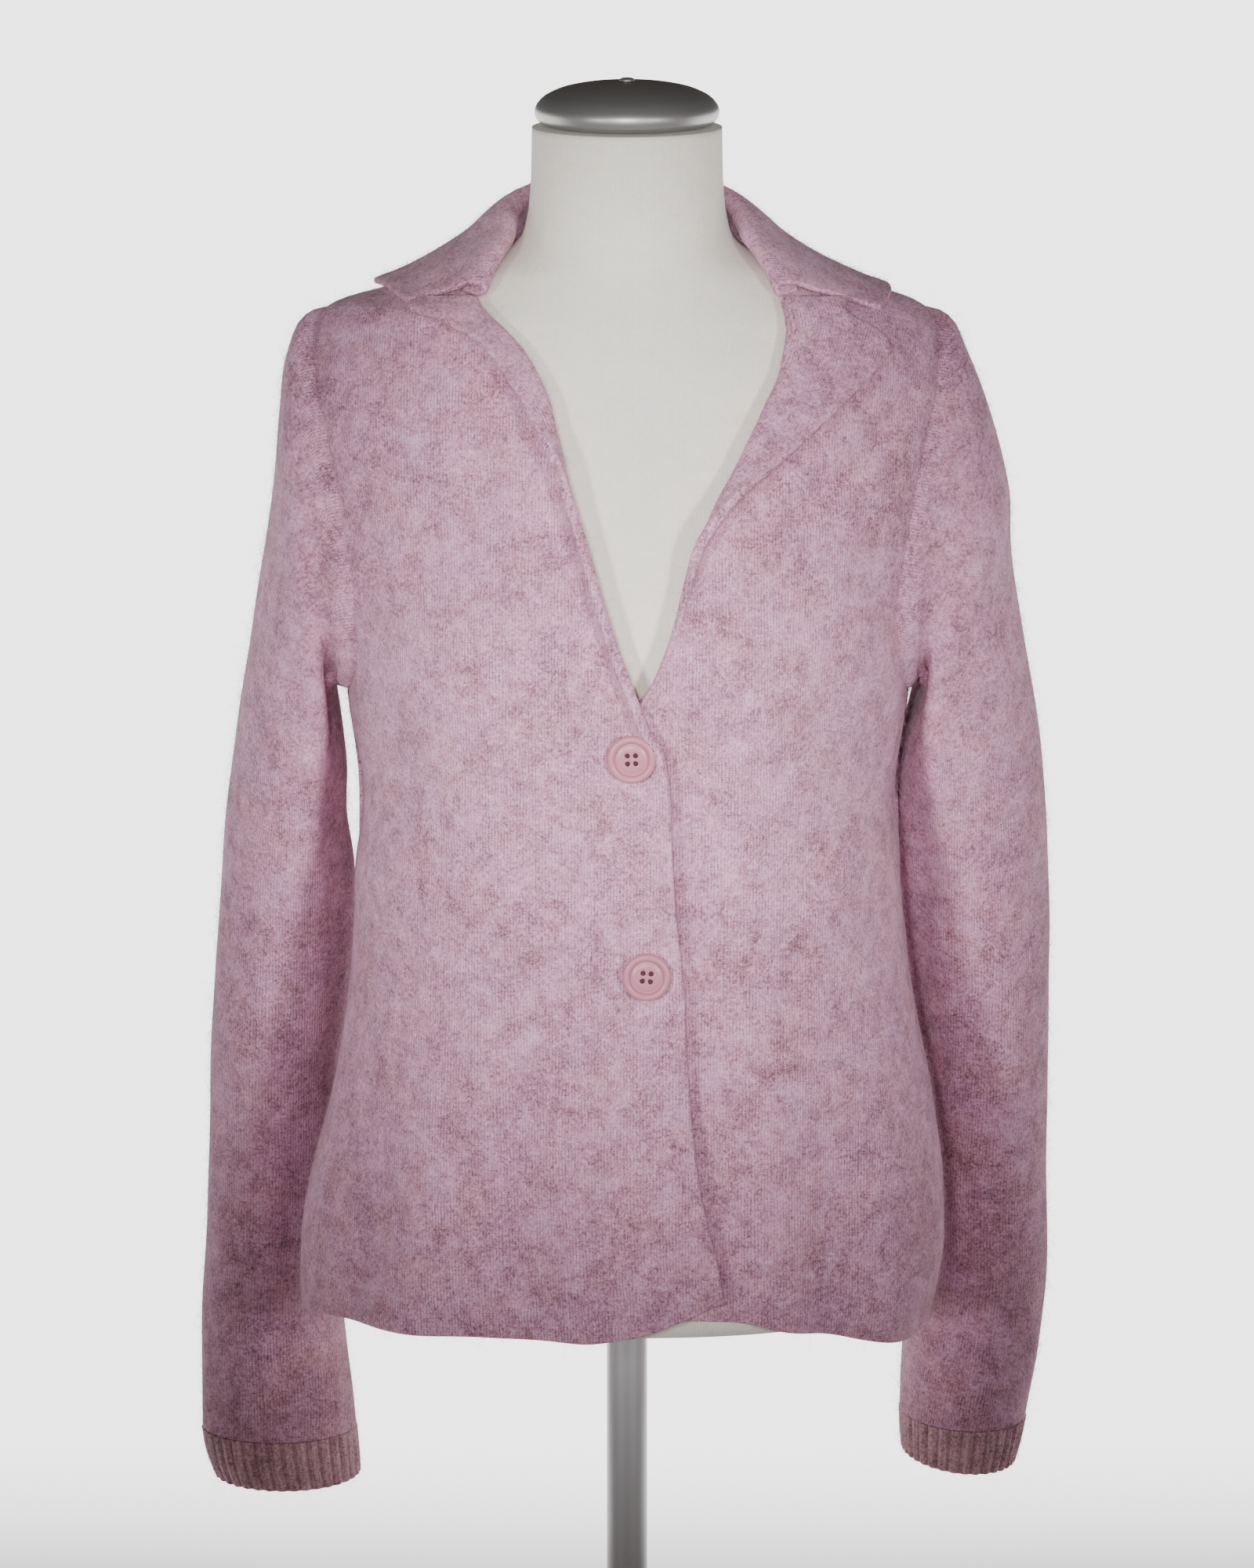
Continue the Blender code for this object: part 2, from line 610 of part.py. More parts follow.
def ring_point(row, columns, turn, side):
    """A point of a sleeve section: turn 0 is its inner side, 180 its outer side, from the front."""
    out = np.array([side * row[columns.index("out_x")], 0, row[columns.index("out_z")]])
    into = np.array([side * row[columns.index("in_x")], 0, row[columns.index("in_z")]])
    depth = np.array([0, 1.0, 0])
    middle = 0.5 * (out + into) + depth * row[columns.index("mid_y")]
    c, s = math.cos(math.radians(turn)), math.sin(math.radians(turn))
    return middle - 0.5 * (out - into) * c - depth * row[columns.index("half_y")] * s


def sleeve(name, side, table):
    """A set-in sleeve from the armhole to the top of its cuff."""
    front = smooth_curve(ARMHOLE, 1)
    back = smooth_curve(ARMHOLE, 2)
    steps = len(ARM_ROWS) - 1
    ring, lean = [], []
    loop = [(height, False) for height in ARM_ROWS] + [(height, True) for height in ARM_ROWS[-2:0:-1]]
    for height, behind in loop:
        angle = back(height) if behind else front(height)
        angle = step_angle(angle, height, -HALF_SEAM, behind)
        if height in (ARM_ROWS[0], ARM_ROWS[-1]):
            angle = 0.0
        point = lifted(angle if side < 0 else 180 - angle, height, -0.5 * CLOTH, behind)
        ring.append(point)
        lean.append(outward(point))
    ring, lean = np.array(ring), np.array(lean)
    ring[0] += np.array([side * 0.3, 0, 0.6])
    ring[steps] += np.array([side * 0.4, 0, -0.3])
    turns = [180.0 * k / steps for k in range(2 * steps)]
    rows = [ring]
    for row in table:
        blend = row[-1]
        shape = np.array([ring_point(row, SLEEVE_COLUMNS, turn, side) for turn in turns])
        if blend < 1:
            shift = np.array([side * 9.0, 0, 0]) * (0.6 + blend)
            shape = shape * blend + (ring + shift) * (1 - blend)
        rows.append(shape)
    outer = np.array(rows)
    normals = ring_normals(outer) * (1 if side < 0 else -1)
    centre = outer.mean(axis=1)
    for i in range(len(rows)):
        if np.mean(np.sum((outer[i] - centre[i]) * normals[i], axis=1)) < 0:
            normals[i] *= -1
    for i, share in ((1, 0.25), (2, 0.6)):
        mixed = lean * (1 - share) + normals[i] * share
        normals[i] = mixed / np.linalg.norm(mixed, axis=1, keepdims=True)
    inner = outer - normals * CLOTH
    outer[0] = ring + lean * 0.5 * CLOTH
    inner[0] = ring - lean * 0.5 * CLOTH
    return wall(name, outer, inner, "mauve_knit", closed=True)


def cuff(name, side, table):
    """A ribbed cuff, its ribs raised on the outside."""
    columns = 2 * CUFF_RIBS
    rows = np.array([
        [ring_point(row, CUFF_COLUMNS, 360.0 * k / columns, side) for k in range(columns)] for row in table
    ])
    normals = ring_normals(rows)
    centre = rows.mean(axis=1, keepdims=True)
    if np.mean(np.sum((rows - centre) * normals, axis=2)) < 0:
        normals = -normals
    ribs = np.array([RIB_RAISE if k % 2 else 0.0 for k in range(columns)])
    outer = rows + normals * (ribs - 0.5 * RIB_RAISE)[None, :, None]
    inner = rows - normals * CLOTH
    return wall(name, outer, inner, "mauve_knit", closed=True)


def collar_path(row, side):
    """One section of the collar: up the stand, round the roll and down the fall."""
    base_x, base_y, crest_x, crest_y, crest_z, edge_x, edge_y, edge_lift, roll = row
    base = np.array([side * base_x, base_y, surface_height(side * base_x, base_y) + COLLAR_BASE_LIFT])
    low = surface_height(side * crest_x, crest_y) + COLLAR_BASE_LIFT - 0.6 + 2 * roll
    crest = np.array([side * crest_x, crest_y, max(crest_z, low)])
    edge = np.array([side * edge_x, edge_y, surface_height(side * edge_x, edge_y) + edge_lift])
    out = edge - crest
    out[2] = 0
    out = out / np.linalg.norm(out)
    centre = crest - np.array([0, 0, roll])

    def flat(point):
        return np.array([np.dot(point - centre, out), point[2] - centre[2]])

    start, end = flat(base), flat(edge)
    arrive = math.atan2(-start[1], -start[0]) + math.asin(roll / np.linalg.norm(start))
    leave = math.atan2(end[1], end[0]) - math.asin(roll / np.linalg.norm(end))
    arrive = arrive if arrive > 0 else arrive + 2 * math.pi
    turns = np.linspace(arrive, leave, ROLL_STEPS + 1)
    arc = [centre + roll * (-math.sin(t) * out + np.array([0, 0, math.cos(t)])) for t in turns]
    path = [base, 0.5 * (base + arc[0])] + arc
    for step in range(1, FALL_STEPS + 1):
        t = step / FALL_STEPS
        point = arc[-1] * (1 - t) + edge * t
        point[2] -= 2.0 * math.sin(math.pi * t)
        lift = (COLLAR_BASE_LIFT - 0.6 + 2 * roll) * (1 - t) + edge_lift * t
        point[2] = max(point[2], surface_height(point[0], point[1]) + lift)
        path.append(point)
    return path


def collar():
    """The collar: a low stand round the neck, rolled over and falling on the shoulders."""
    sections = [(row, -1) for row in reversed(COLLAR_RIGHT)] + [(row, 1) for row in COLLAR_LEFT[1:]]
    middle = np.array([collar_path(row, side) for row, side in sections])
    normals = grid_normals(middle)
    return wall("collar", middle + normals * 0.5 * CLOTH, middle - normals * 0.5 * CLOTH, "mauve_knit")


def form_lift(angle, height):
    """How far the form's skin lies inside the garment's outer surface."""
    close = -(CLOTH + FORM_GAP)
    facing = abs(math.sin(math.radians(angle))) ** 2
    slack = max(facing, 1.0 - ease(height, 500, 600))
    return close - 5.2 * slack * (1.0 - ease(height, 700, 762))


def dress_form():
    """The limbless torso and neck, smooth and whole."""
    rings = []
    for height in FORM_ROWS:
        ring = []
        for k in range(FORM_COLUMNS):
            angle = 360.0 * k / FORM_COLUMNS
            behind = angle > 180
            turn = 360.0 - angle if behind else angle
            lift = form_lift(turn, height)
            point = body_point(turn, height, behind)
            normal = outward(point)
            point = point + normal * lift
            if height in (FORM_BOTTOM, FORM_TOP):
                point[2] = height
            ring.append(point)
        rings.append(ring)
    bm = bmesh.new()
    verts = [[bm.verts.new(p * MM) for p in ring] for ring in rings]
    for i in range(len(rings) - 1):
        for k in range(FORM_COLUMNS):
            j = (k + 1) % FORM_COLUMNS
            bm.faces.new((verts[i][k], verts[i][j], verts[i + 1][j], verts[i + 1][k]))
    bm.faces.new(verts[0])
    bm.faces.new(verts[-1])
    return new_object("dress_form", bm, "cream_jersey")


def button(name, across, height, spin):
    """A four-hole button lying on the front."""
    seat = body_point(angle_at(across, height), height)
    normal = outward(seat)
    obj = turned(name, [(r, z) for r, z in BUTTON_PROFILE], "pink_plastic", steps=28)
    depth = BUTTON_GAP + BAND_RAISE
    place = (seat + normal * depth) * MM
    spin = math.radians(spin)
    tilt = math.atan2(normal[2], -normal[1])
    obj.rotation_euler = (math.radians(90) - tilt, 0, math.atan2(normal[0], -normal[1]))
    obj.location = place
    bpy.context.view_layer.update()
    world = obj.matrix_world.copy()
    for k in range(4):
        turn = spin + math.radians(45 + 90 * k)
        reach = BUTTON_HOLE_STEP / math.sqrt(2.0)
        bpy.ops.mesh.primitive_cylinder_add(vertices=8, radius=BUTTON_HOLE_RADIUS * MM, depth=12 * MM)
        pin = bpy.context.active_object
        pin.name = f"{name}_hole_{k}"
        pin.matrix_world = world @ mathutils.Matrix.Translation(
            (reach * math.cos(turn) * MM, reach * math.sin(turn) * MM, 2 * MM))
        for old in list(pin.users_collection):
            old.objects.unlink(pin)
        CUTTERS.objects.link(pin)
        pin.hide_render = True
        pin.display_type = "WIRE"
        cut = obj.modifiers.new(f"Hole {k}", "BOOLEAN")
        cut.operation = "DIFFERENCE"
        cut.solver = "EXACT"
        cut.object = pin
    return obj


def make_material(name, colour, rough, metal):
    material = bpy.data.materials.new(name)
    material.use_nodes = True
    shader = material.node_tree.nodes["Principled BSDF"]
    shader.inputs["Base Color"].default_value = colour
    shader.inputs["Roughness"].default_value = rough
    shader.inputs["Metallic"].default_value = metal
    material.diffuse_color = colour
    return material


for old in list(bpy.data.objects):
    bpy.data.objects.remove(old)
PARTS = bpy.data.collections.new("cardigan_on_a_dress_form")
CUTTERS = bpy.data.collections.new("cutters")
bpy.context.scene.collection.children.link(PARTS)
bpy.context.scene.collection.children.link(CUTTERS)
MATERIAL_SLOTS = {name: make_material(name, *look) for name, look in MATERIALS.items()}

front_panel("front_right", -1, FRONT_RIGHT, HEM_RIGHT, under=False)
front_panel("front_left", 1, FRONT_LEFT, HEM_LEFT, under=True)
back_panel()
sleeve("sleeve_right", -1, SLEEVE_RIGHT)
sleeve("sleeve_left", 1, SLEEVE_LEFT)
cuff("cuff_right", -1, CUFF_RIGHT)
cuff("cuff_left", 1, CUFF_LEFT)
collar()
dress_form()
for name, across, height, spin in BUTTONS:
    button(name, across, height, spin)
turned("neck_cap", CAP_PROFILE, "grey_metal", steps=32, deep=CAP_DEPTH_SCALE)
turned("cap_screw", ((0, CAP_SCREW_TOP), (2.8, CAP_SCREW_TOP), (CAP_SCREW_RADIUS, CAP_SCREW_TOP - 0.6),
                     (CAP_SCREW_RADIUS, CAP_SCREW_FOOT), (0, CAP_SCREW_FOOT)), "grey_metal", steps=16)
turned("stand_pole", ((0, FORM_BOTTOM - 0.3), (POLE_RADIUS, FORM_BOTTOM - 0.3),
                      (POLE_RADIUS, BASE_HEIGHT + 0.3),
                      (0, BASE_HEIGHT + 0.3)), "steel", steps=24)
turned("stand_base", BASE_PROFILE, "steel", steps=48)
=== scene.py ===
"""A fuzzy mauve cardigan with a notched collar, buttoned on a cream dress form."""
import json
import math

import bmesh
import bpy
import numpy as np
from mathutils import Matrix, Vector

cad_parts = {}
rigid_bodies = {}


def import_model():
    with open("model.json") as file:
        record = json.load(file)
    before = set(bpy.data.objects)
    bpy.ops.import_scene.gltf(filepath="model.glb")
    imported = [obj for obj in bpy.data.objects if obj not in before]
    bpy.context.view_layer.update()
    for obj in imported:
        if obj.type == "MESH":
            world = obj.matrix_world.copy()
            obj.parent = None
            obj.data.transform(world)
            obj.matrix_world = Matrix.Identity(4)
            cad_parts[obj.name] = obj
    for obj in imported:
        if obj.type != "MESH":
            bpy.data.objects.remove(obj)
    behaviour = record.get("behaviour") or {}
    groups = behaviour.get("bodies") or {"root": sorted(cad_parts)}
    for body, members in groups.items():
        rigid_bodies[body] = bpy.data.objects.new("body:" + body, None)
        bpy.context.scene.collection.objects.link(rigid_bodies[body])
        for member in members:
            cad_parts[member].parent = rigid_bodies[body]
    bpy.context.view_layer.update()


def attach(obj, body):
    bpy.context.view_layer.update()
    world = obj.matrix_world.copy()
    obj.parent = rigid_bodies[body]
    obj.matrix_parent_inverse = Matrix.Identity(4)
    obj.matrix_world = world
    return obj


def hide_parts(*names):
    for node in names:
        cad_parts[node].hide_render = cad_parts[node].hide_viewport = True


for old in list(bpy.data.objects):
    bpy.data.objects.remove(old)
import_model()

# Metres in a millimetre; all other lengths are in millimetres unless a comment says metres
MM = 0.001
# Cloth: thickness, gap at a seam, arc of a turned edge, and how far one layer clears the next
CLOTH = 2.4
SEAM = -0.5
HALF_SEAM = 0.5 * SEAM
TURN_LENGTH = 8.0
BAND_RAISE = 0.5
UNDERLAP = 3.4
GORGE_DROP = 4.0
FORM_GAP = 1.1
BUTTON_GAP = 0.35

# The garment's outer surface as level sections in millimetres
BODY_COLUMNS = ("height", "right", "left", "front", "back", "side_power", "depth_power")
BODY = (
    (190, 174, 160, 132, 122, 2.30, 2.20),
    (215, 177, 168, 132, 121, 2.30, 2.20),
    (245, 176, 172, 130, 120, 2.30, 2.20),
    (280, 170, 170.5, 128, 117, 2.30, 2.20),
    (320, 160, 165, 126.5, 112, 2.30, 2.20),
    (360, 152, 157, 125.5, 106, 2.30, 2.20),
    (400, 147, 150.5, 125.5, 101, 2.30, 2.20),
    (445, 145, 146.5, 126.5, 98, 2.30, 2.20),
    (490, 144, 145.5, 129, 100, 2.30, 2.20),
    (530, 148, 149, 131.5, 105, 2.30, 2.20),
    (560, 153, 153.5, 132.5, 109, 2.30, 2.20),
    (585, 157, 157, 130, 112, 2.30, 2.20),
    (620, 162, 162, 122, 114, 2.20, 2.20),
    (650, 166, 166, 113, 114.5, 2.20, 2.20),
    (680, 169, 169, 104, 113, 2.20, 2.15),
    (700, 171, 171, 97, 110, 2.15, 2.05),
    (718, 171.5, 171.5, 89.5, 105, 2.10, 1.90),
    (732, 168.5, 168.5, 82, 98, 2.05, 1.80),
    (742, 164, 164, 75.5, 90, 2.00, 1.70),
    (750, 155, 155, 70.5, 82, 2.00, 1.65),
    (757, 131, 137, 66, 75, 2.00, 1.65),
    (764, 110.5, 115, 62, 69, 2.00, 1.70),
    (771, 93, 93, 58.5, 64, 2.00, 1.85),
    (776, 77, 77, 56.8, 61, 2.00, 2.00),
    (781, 65.5, 65.5, 55.8, 58.5, 2.00, 2.00),
    (788, 58.5, 58.5, 54.8, 56.5, 2.00, 2.00),
    (800, 55.5, 55.5, 54, 54.5, 2.00, 2.00),
    (820, 54, 54, 53.3, 53.3, 2.00, 2.00),
    (870, 53.4, 53.4, 52.5, 52.5, 2.00, 2.00),
)
# Where the armhole leaves the side seam: height, and angles round the front and the back from the side
ARMHOLE = (
    (545, 0, 0),
    (548, 9, 9),
    (555, 15, 15),
    (570, 20.5, 20),
    (600, 25, 24),
    (640, 26, 25),
    (680, 23, 22),
    (710, 18, 17),
    (731, 11.5, 11),
    (742, 6, 6),
    (748, 0, 0),
)
# The right front laps over: height, seen edge, turn of the edge in degrees, width of the turned-back
# leaf, and where the band begins
FRONT_RIGHT = (
    (200, 50, 0, 4, -12),
    (243, 52.7, 0, 4, -12),
    (262, 48.5, 0, 4, -12),
    (275, 44.8, 0, 4, -12),
    (292, 39.9, 0, 4, -12.3),
    (327, 34.9, 0, 4, -12.6),
    (375, 31.1, 0, 4, -13),
    (416, 29.4, 0, 4, -13.5),
    (455, 24.8, 0, 4, -15),
    (500, 22.7, 6, 4, -18.5),
    (521, 21.5, 12, 4, -21),
    (535, 18.2, 20, 4, -23),
    (549, 9.7, 32, 4, -27),
    (561, 5.9, 44, 4, -31),
    (577, -1.6, 44, 4, -36),
    (603, -10.3, 44, 4, -45),
    (635, -19, 48, 4, -54),
    (655, -25, 60, 4, -60),
    (672, -29.6, 90, 5, -66),
    (696, -36.5, 150, 8, -74),
    (711, -39.8, 180, 12, -79),
    (720, -43.8, 180, 15, -84),
    (729, -49, 180, 17, -89),
    (738, -57, 180, 20, -96),
    (745, -65, 180, 27, -102),
    (752, -73, 180, 34, -107),
    (757.5, -76.5, 180, 20, -110),
    (764, -76, 180, 20, -100),
    (771, -75, 180, 20, -88),
    (790, -74, 180, 20, -80),
)
FRONT_LEFT = (
    (200, -20, 0, 4, 59),
    (243, -20, 0, 4, 60),
    (262, -20, 0, 4, 56),
    (292, -19, 0, 4, 48),
    (327, -18.5, 0, 4, 43),
    (375, -18, 0, 4, 39),
    (416, -18, 0, 4, 37),
    (455, -17, 0, 4, 33),
    (500, -16, 0, 4, 31),
    (530, -12, 0, 4, 30),
    (545, -4, 0, 4, 32),
    (559, 5.9, 0, 4, 36),
    (565, 10.3, 2, 4, 39),
    (574, 14.6, 6, 4, 43),
    (584, 19, 12, 4, 48),
    (596, 23.4, 16, 4, 54),
    (607, 26.5, 22, 4, 58),
    (620, 29.5, 32, 4, 62),
    (633, 32.4, 50, 4, 67),
    (644, 36.8, 76, 5, 72),
    (652, 40.5, 102, 6, 77),
    (663, 47.4, 136, 9, 84),
    (675, 54.3, 165, 16, 91),
    (686, 61.2, 178, 24, 98),
    (700, 67, 180, 36, 104),
    (714, 74, 180, 48, 111),
    (722, 77.6, 180, 55, 115),
    (732, 79.8, 180, 62, 118),
    (743, 81.8, 180, 42, 119),
    (752, 80.8, 180, 27, 117),
    (757.5, 79, 180, 26, 115),
    (764, 77, 180, 20, 100),
    (771, 75, 180, 20, 88),
    (790, 74, 180, 20, 80),
)
# Hems: across and height
HEM_RIGHT = (
    (-179, 203), (-163, 212), (-150, 214.5), (-125, 214.5), (-83, 217), (-41, 216), (0, 217.7),
    (15.6, 223), (28.4, 227.5), (37.9, 231.8), (48.6, 240), (52.7, 243.3),
)
HEM_LEFT = (
    (-25, 227), (28.8, 227.5), (55.6, 226), (74, 223.7), (82.6, 219.3), (103.5, 215),
    (124.7, 208), (135.5, 204.4), (146.6, 201.5), (156, 200), (172, 200),
)
HEM_BACK = ((-179, 203), (-120, 206), (0, 207), (120, 204), (172, 200))
HEM_NOMINAL = 214.0
HEM_FADE = 325.0
# Level rows of the panels
LOW_ROWS = (214, 236, 262, 292, 325, 365, 405, 445, 485, 520)
ARM_ROWS = (545, 548, 555, 570, 600, 640, 680, 710, 731, 742, 748)
FRONT_EXTRA = (536, 585, 620, 660, 695, 720, 737, 752)
GORGE_ROW = 757.5
SHOULDER_ROWS = (763, 769.5, 776)
PANEL_COLUMNS = 7
BAND_COLUMNS = 3
TURN_STEPS = 4
LEAF_STEPS = 3
BACK_COLUMNS = 18
# Sleeve and cuff sections: outer point and inner point seen from the front, middle in depth and half
# depth; and for a sleeve how far the section has left the armhole's shape
SLEEVE_RIGHT = (
    (171, 747, 153, 545, 0, 42, 0.08),
    (180, 735, 153, 541, 1, 45, 0.35),
    (184.5, 713, 153, 536, 2, 48, 0.7),
    (186, 688, 153, 530, 3, 51, 0.92),
    (188, 655, 152.5, 522, 5, 52.5, 1.0),
    (193, 617, 151.5, 511, 9, 52, 1.0),
    (200, 577, 150.5, 495, 15, 51, 1.0),
    (207.5, 535, 151, 470, 22, 49.5, 1.0),
    (214, 490, 147.5, 440, 31, 47.5, 1.0),
    (219.5, 443, 148, 405, 40, 46, 1.0),
    (223.5, 395, 151, 368, 49, 45, 1.0),
    (226.5, 347, 156, 330, 58, 44, 1.0),
    (229, 300, 159.5, 292, 66, 43, 1.0),
    (231.5, 253, 161, 250, 74, 42, 1.0),
    (234, 206, 159.5, 206, 79, 41.5, 1.0),
    (236.5, 160, 155, 160, 79, 40.5, 1.0),
    (236, 112, 150.5, 112, 77, 40, 1.0),
)
SLEEVE_LEFT = (
    (171, 747, 152.2, 545, 0, 42, 0.08),
    (180, 735, 151.8, 539, 1, 45, 0.35),
    (187, 712, 151.0, 532, 2, 48, 0.7),
    (196.5, 681, 148.9, 524, 3, 51, 0.92),
    (203.5, 650, 146.5, 516, 5, 52.5, 1.0),
    (204.5, 622, 144.8, 506, 9, 52, 1.0),
    (211.5, 577, 144, 490, 15, 51, 1.0),
    (219, 535, 143, 468, 22, 49.5, 1.0),
    (225, 490, 143.5, 440, 31, 48, 1.0),
    (228, 443, 148, 405, 40, 47, 1.0),
    (230.5, 395, 152.5, 368, 49, 47, 1.0),
    (231, 347, 158, 330, 58, 46.5, 1.0),
    (231, 300, 162.5, 292, 67, 46, 1.0),
    (231.5, 253, 161.5, 250, 76, 45.5, 1.0),
    (233, 206, 157, 206, 82, 45, 1.0),
    (229, 162, 153, 162, 81, 45, 1.0),
    (221.5, 118, 151.5, 122, 78, 45, 1.0),
)
CUFF_RIGHT = (
    (236, 111.5, 150.5, 111.5, 77, 40),
    (233.5, 97, 149.3, 97, 76.5, 39.6),
    (228.5, 83.5, 148.6, 84.5, 76, 39),
)
CUFF_LEFT = (
    (221.5, 117.5, 151.5, 121.5, 78, 45),
    (219, 104.5, 152, 110, 77.5, 44.6),
    (215.5, 92, 153, 98.5, 77, 44),
)
CUFF_RIBS = 35
# Collar sections from the centre back to the front end: foot, crest and edge, how far the edge stands
# off the shoulder, and the radius of the roll
COLLAR_RIGHT = (
    (0, 61.5, 0, 59.5, 811, 0, 94, 2.4, 4.4),
    (20, 59, 19, 57, 811, 34, 91, 2.4, 4.4),
    (40, 52.5, 36.5, 49.5, 810, 68, 81, 2.4, 4.4),
    (58, 41, 50, 36.5, 808, 99, 64, 3.2, 4.6),
    (70.5, 25, 60, 20.5, 804, 122, 42, 3.6, 5.0),
    (77, 6.5, 63.5, 3, 798, 134, 20, 4.0, 5.0),
    (80, -12, 64.5, -14, 789, 130, 5, 1.6, 4.0),
    (82.5, -25, 69, -28.5, 781.5, 126, -9, 0.9, 3.7),
    (84, -34.5, 73.5, -40, 773.5, 121, -24, 0.8, 3.3),
    (85.5, -43, 77.8, -48.8, 766, 115, -36, 1.0, 2.9),
)
COLLAR_LEFT = (
    (0, 61.5, 0, 59.5, 811, 0, 94, 2.4, 4.4),
    (20, 59, 19, 57, 811, 34, 91, 2.4, 4.4),
    (40, 52.5, 36.5, 49.5, 810, 68, 81, 2.4, 4.4),
    (58, 41, 49.5, 37, 807, 98, 64, 2.4, 4.4),
    (70.5, 25, 58.5, 21.5, 802, 123, 42, 2.4, 4.4),
    (77, 6.5, 62.5, 3, 796, 134, 19, 1.8, 4.3),
    (80, -12, 66, -14, 789, 139, 3, 1.5, 4.0),
    (84, -25, 71.5, -28.5, 781.5, 139, -11, 0.9, 3.7),
    (87, -34.5, 76.5, -39.5, 774, 136.5, -23, 0.8, 3.3),
    (89, -43.5, 81.5, -48.5, 766.5, 132, -33, 1.0, 2.9),
)
ROLL_STEPS = 5
FALL_STEPS = 3
COLLAR_BASE_LIFT = 2.5
# Dress form
FORM_BOTTOM = 217.0
FORM_TOP = 843.0
CAP_PROFILE = (
    (0, 867), (12, 866.7), (26, 865.2), (38, 862), (45.5, 857.5), (48.6, 852.5), (48, 848), (44.5, 844.8),
    (39, 843.6), (0, 843.6),
)
CAP_DEPTH_SCALE = 1.03
CAP_SCREW_TOP = 868.8
CAP_SCREW_FOOT = 867.3
POLE_RADIUS = 11.0
BASE_HEIGHT = 9.0
BASE_PROFILE = ((0, 9), (126, 9), (129.2, 7.6), (130, 5), (130, 1.2), (129, 0), (0, 0))
# Buttons: across, height and turn in degrees
BUTTONS = (("button_upper", 2.4, 530.4, 2.0), ("button_lower", 10.2, 413.4, -5.0))
BUTTON_PROFILE = (
    (0, 2.5), (7.6, 2.5), (8.1, 2.2), (8.5, 2.3), (8.9, 3.3), (9.7, 4.2), (10.9, 4.5), (12.0, 4.0),
    (12.7, 2.7), (12.3, 1.2), (11.0, 0.3), (9.5, 0.0), (0, 0.0),
)
BUTTON_HOLE_RADIUS = 1.35
BUTTON_HOLE_STEP = 4.2

# The bust: how far it stands out, its place and spread across, its height and spread up
BUST = (8.0, 72.0, 42.0, 575.0, 55.0)
# Step for slopes of the body's surface
PROBE = 0.4
# Nets: least turn of a lapel, least width of a band, and where the left front sinks under the right
LEAST_BEND = 0.02
BAND_LEAST = 6.0
UNDER_FROM = 5
UNDER_TO = 24
UNDER_TOP = (572, 590)
# Turns over which a leaf comes to lie on the body, and heights where the gorge drops
FOLLOW_TURNS = (math.radians(125), math.radians(175))
GORGE_DROP_ROWS = (745, 757)
FRONT_ROWS = sorted(set(LOW_ROWS + ARM_ROWS + FRONT_EXTRA)) + [GORGE_ROW, *SHOULDER_ROWS]
BACK_ROWS = [*LOW_ROWS, *ARM_ROWS, GORGE_ROW, *SHOULDER_ROWS]
# Edges, seams and ribs
EDGE_REACH = 6.0
EDGE_RISE = 1.3
COLLAR_RISE = 0.3 * EDGE_RISE
LAPEL_SWELL = 1.0
TUCK = 5.0
TUBE_FADE = 20.0
RIB_DEPTH = 0.7
RIB_PITCH = 5.8
RIB_COLUMNS = 8
# Fineness of the cloth and the form
STEP = 3.0
BACK_STEP = 4.0
SLEEVE_STEP = 3.6
CUFF_STEP = 2.0
CUFF_POINTS = 40
FORM_COLUMNS = 140
# Knit: stitch sizes in metres, and patches as (scale, rough, share) or (scale, detail, rough, share)
WALE = 0.00170
COURSE = 0.00130
HEATHER = ((24.0, 0.6, 0.26), (105.0, 0.65, 0.42), (520.0, 0.8, 0.74))
FIBRE = (1700.0, 2.0, 0.7, 0.50)
HEATHER_MIDDLE = 0.957
HEATHER_CONTRAST = 2.8
ROSE_TINT = (1.0, 0.965, 0.905, 1.0)
LILAC_TINT = (0.98, 0.955, 1.0, 1.0)
FUZZ_WIDTH = 0.085
# Floor and camera
FLOOR_GLOW_NEAR = 0.14
FLOOR_GLOW = 3.3
FLOOR_GLOW_FROM = -0.06
FLOOR_GLOW_TO = 0.45
CAMERA_DISTANCE = 4.0
CAMERA_AIM = 0.49
CAMERA_LENS = 171.43
CAMERA_TILT = math.radians(11.5)


def smooth_curve(rows, column):
    """A smooth curve through one column of a table that never overshoots its rows."""
    table = np.asarray(rows, float)
    across, values = table[:, 0], table[:, column]
    steps = np.diff(across)
    slopes = np.diff(values) / steps
    tangents = np.zeros_like(values)
    for index in range(1, len(values) - 1):
        before, after = slopes[index - 1], slopes[index]
        if before * after > 0:
            tangents[index] = 2.0 * before * after / (before + after)
    tangents[0], tangents[-1] = slopes[0], slopes[-1]

    def value(position):
        position = min(max(position, across[0]), across[-1])
        index = min(max(int(np.searchsorted(across, position, side="right")) - 1, 0), len(steps) - 1)
        step = steps[index]
        t = (position - across[index]) / step
        start = (2 * t**3 - 3 * t**2 + 1) * values[index] + (t**3 - 2 * t**2 + t) * step * tangents[index]
        return start + (3 * t**2 - 2 * t**3) * values[index + 1] + (t**3 - t**2) * step * tangents[index + 1]

    return value


def ease(value, low, high):
    """Zero below low, one above high, smooth between."""
    t = min(max((value - low) / (high - low), 0.0), 1.0)
    return t * t * (3 - 2 * t)


SECTION = {name: smooth_curve(BODY, index) for index, name in enumerate(BODY_COLUMNS) if index}


def section_at(name, height):
    """One measure of the body's section at a height."""
    return SECTION[name](height)


def bust(across, height):
    """How far the chest stands out past its sections."""
    rise, middle, width, top, tall = BUST
    return rise * np.exp(-(((abs(across) - middle) / width) ** 2)) * np.exp(-(((height - top) / tall) ** 2))


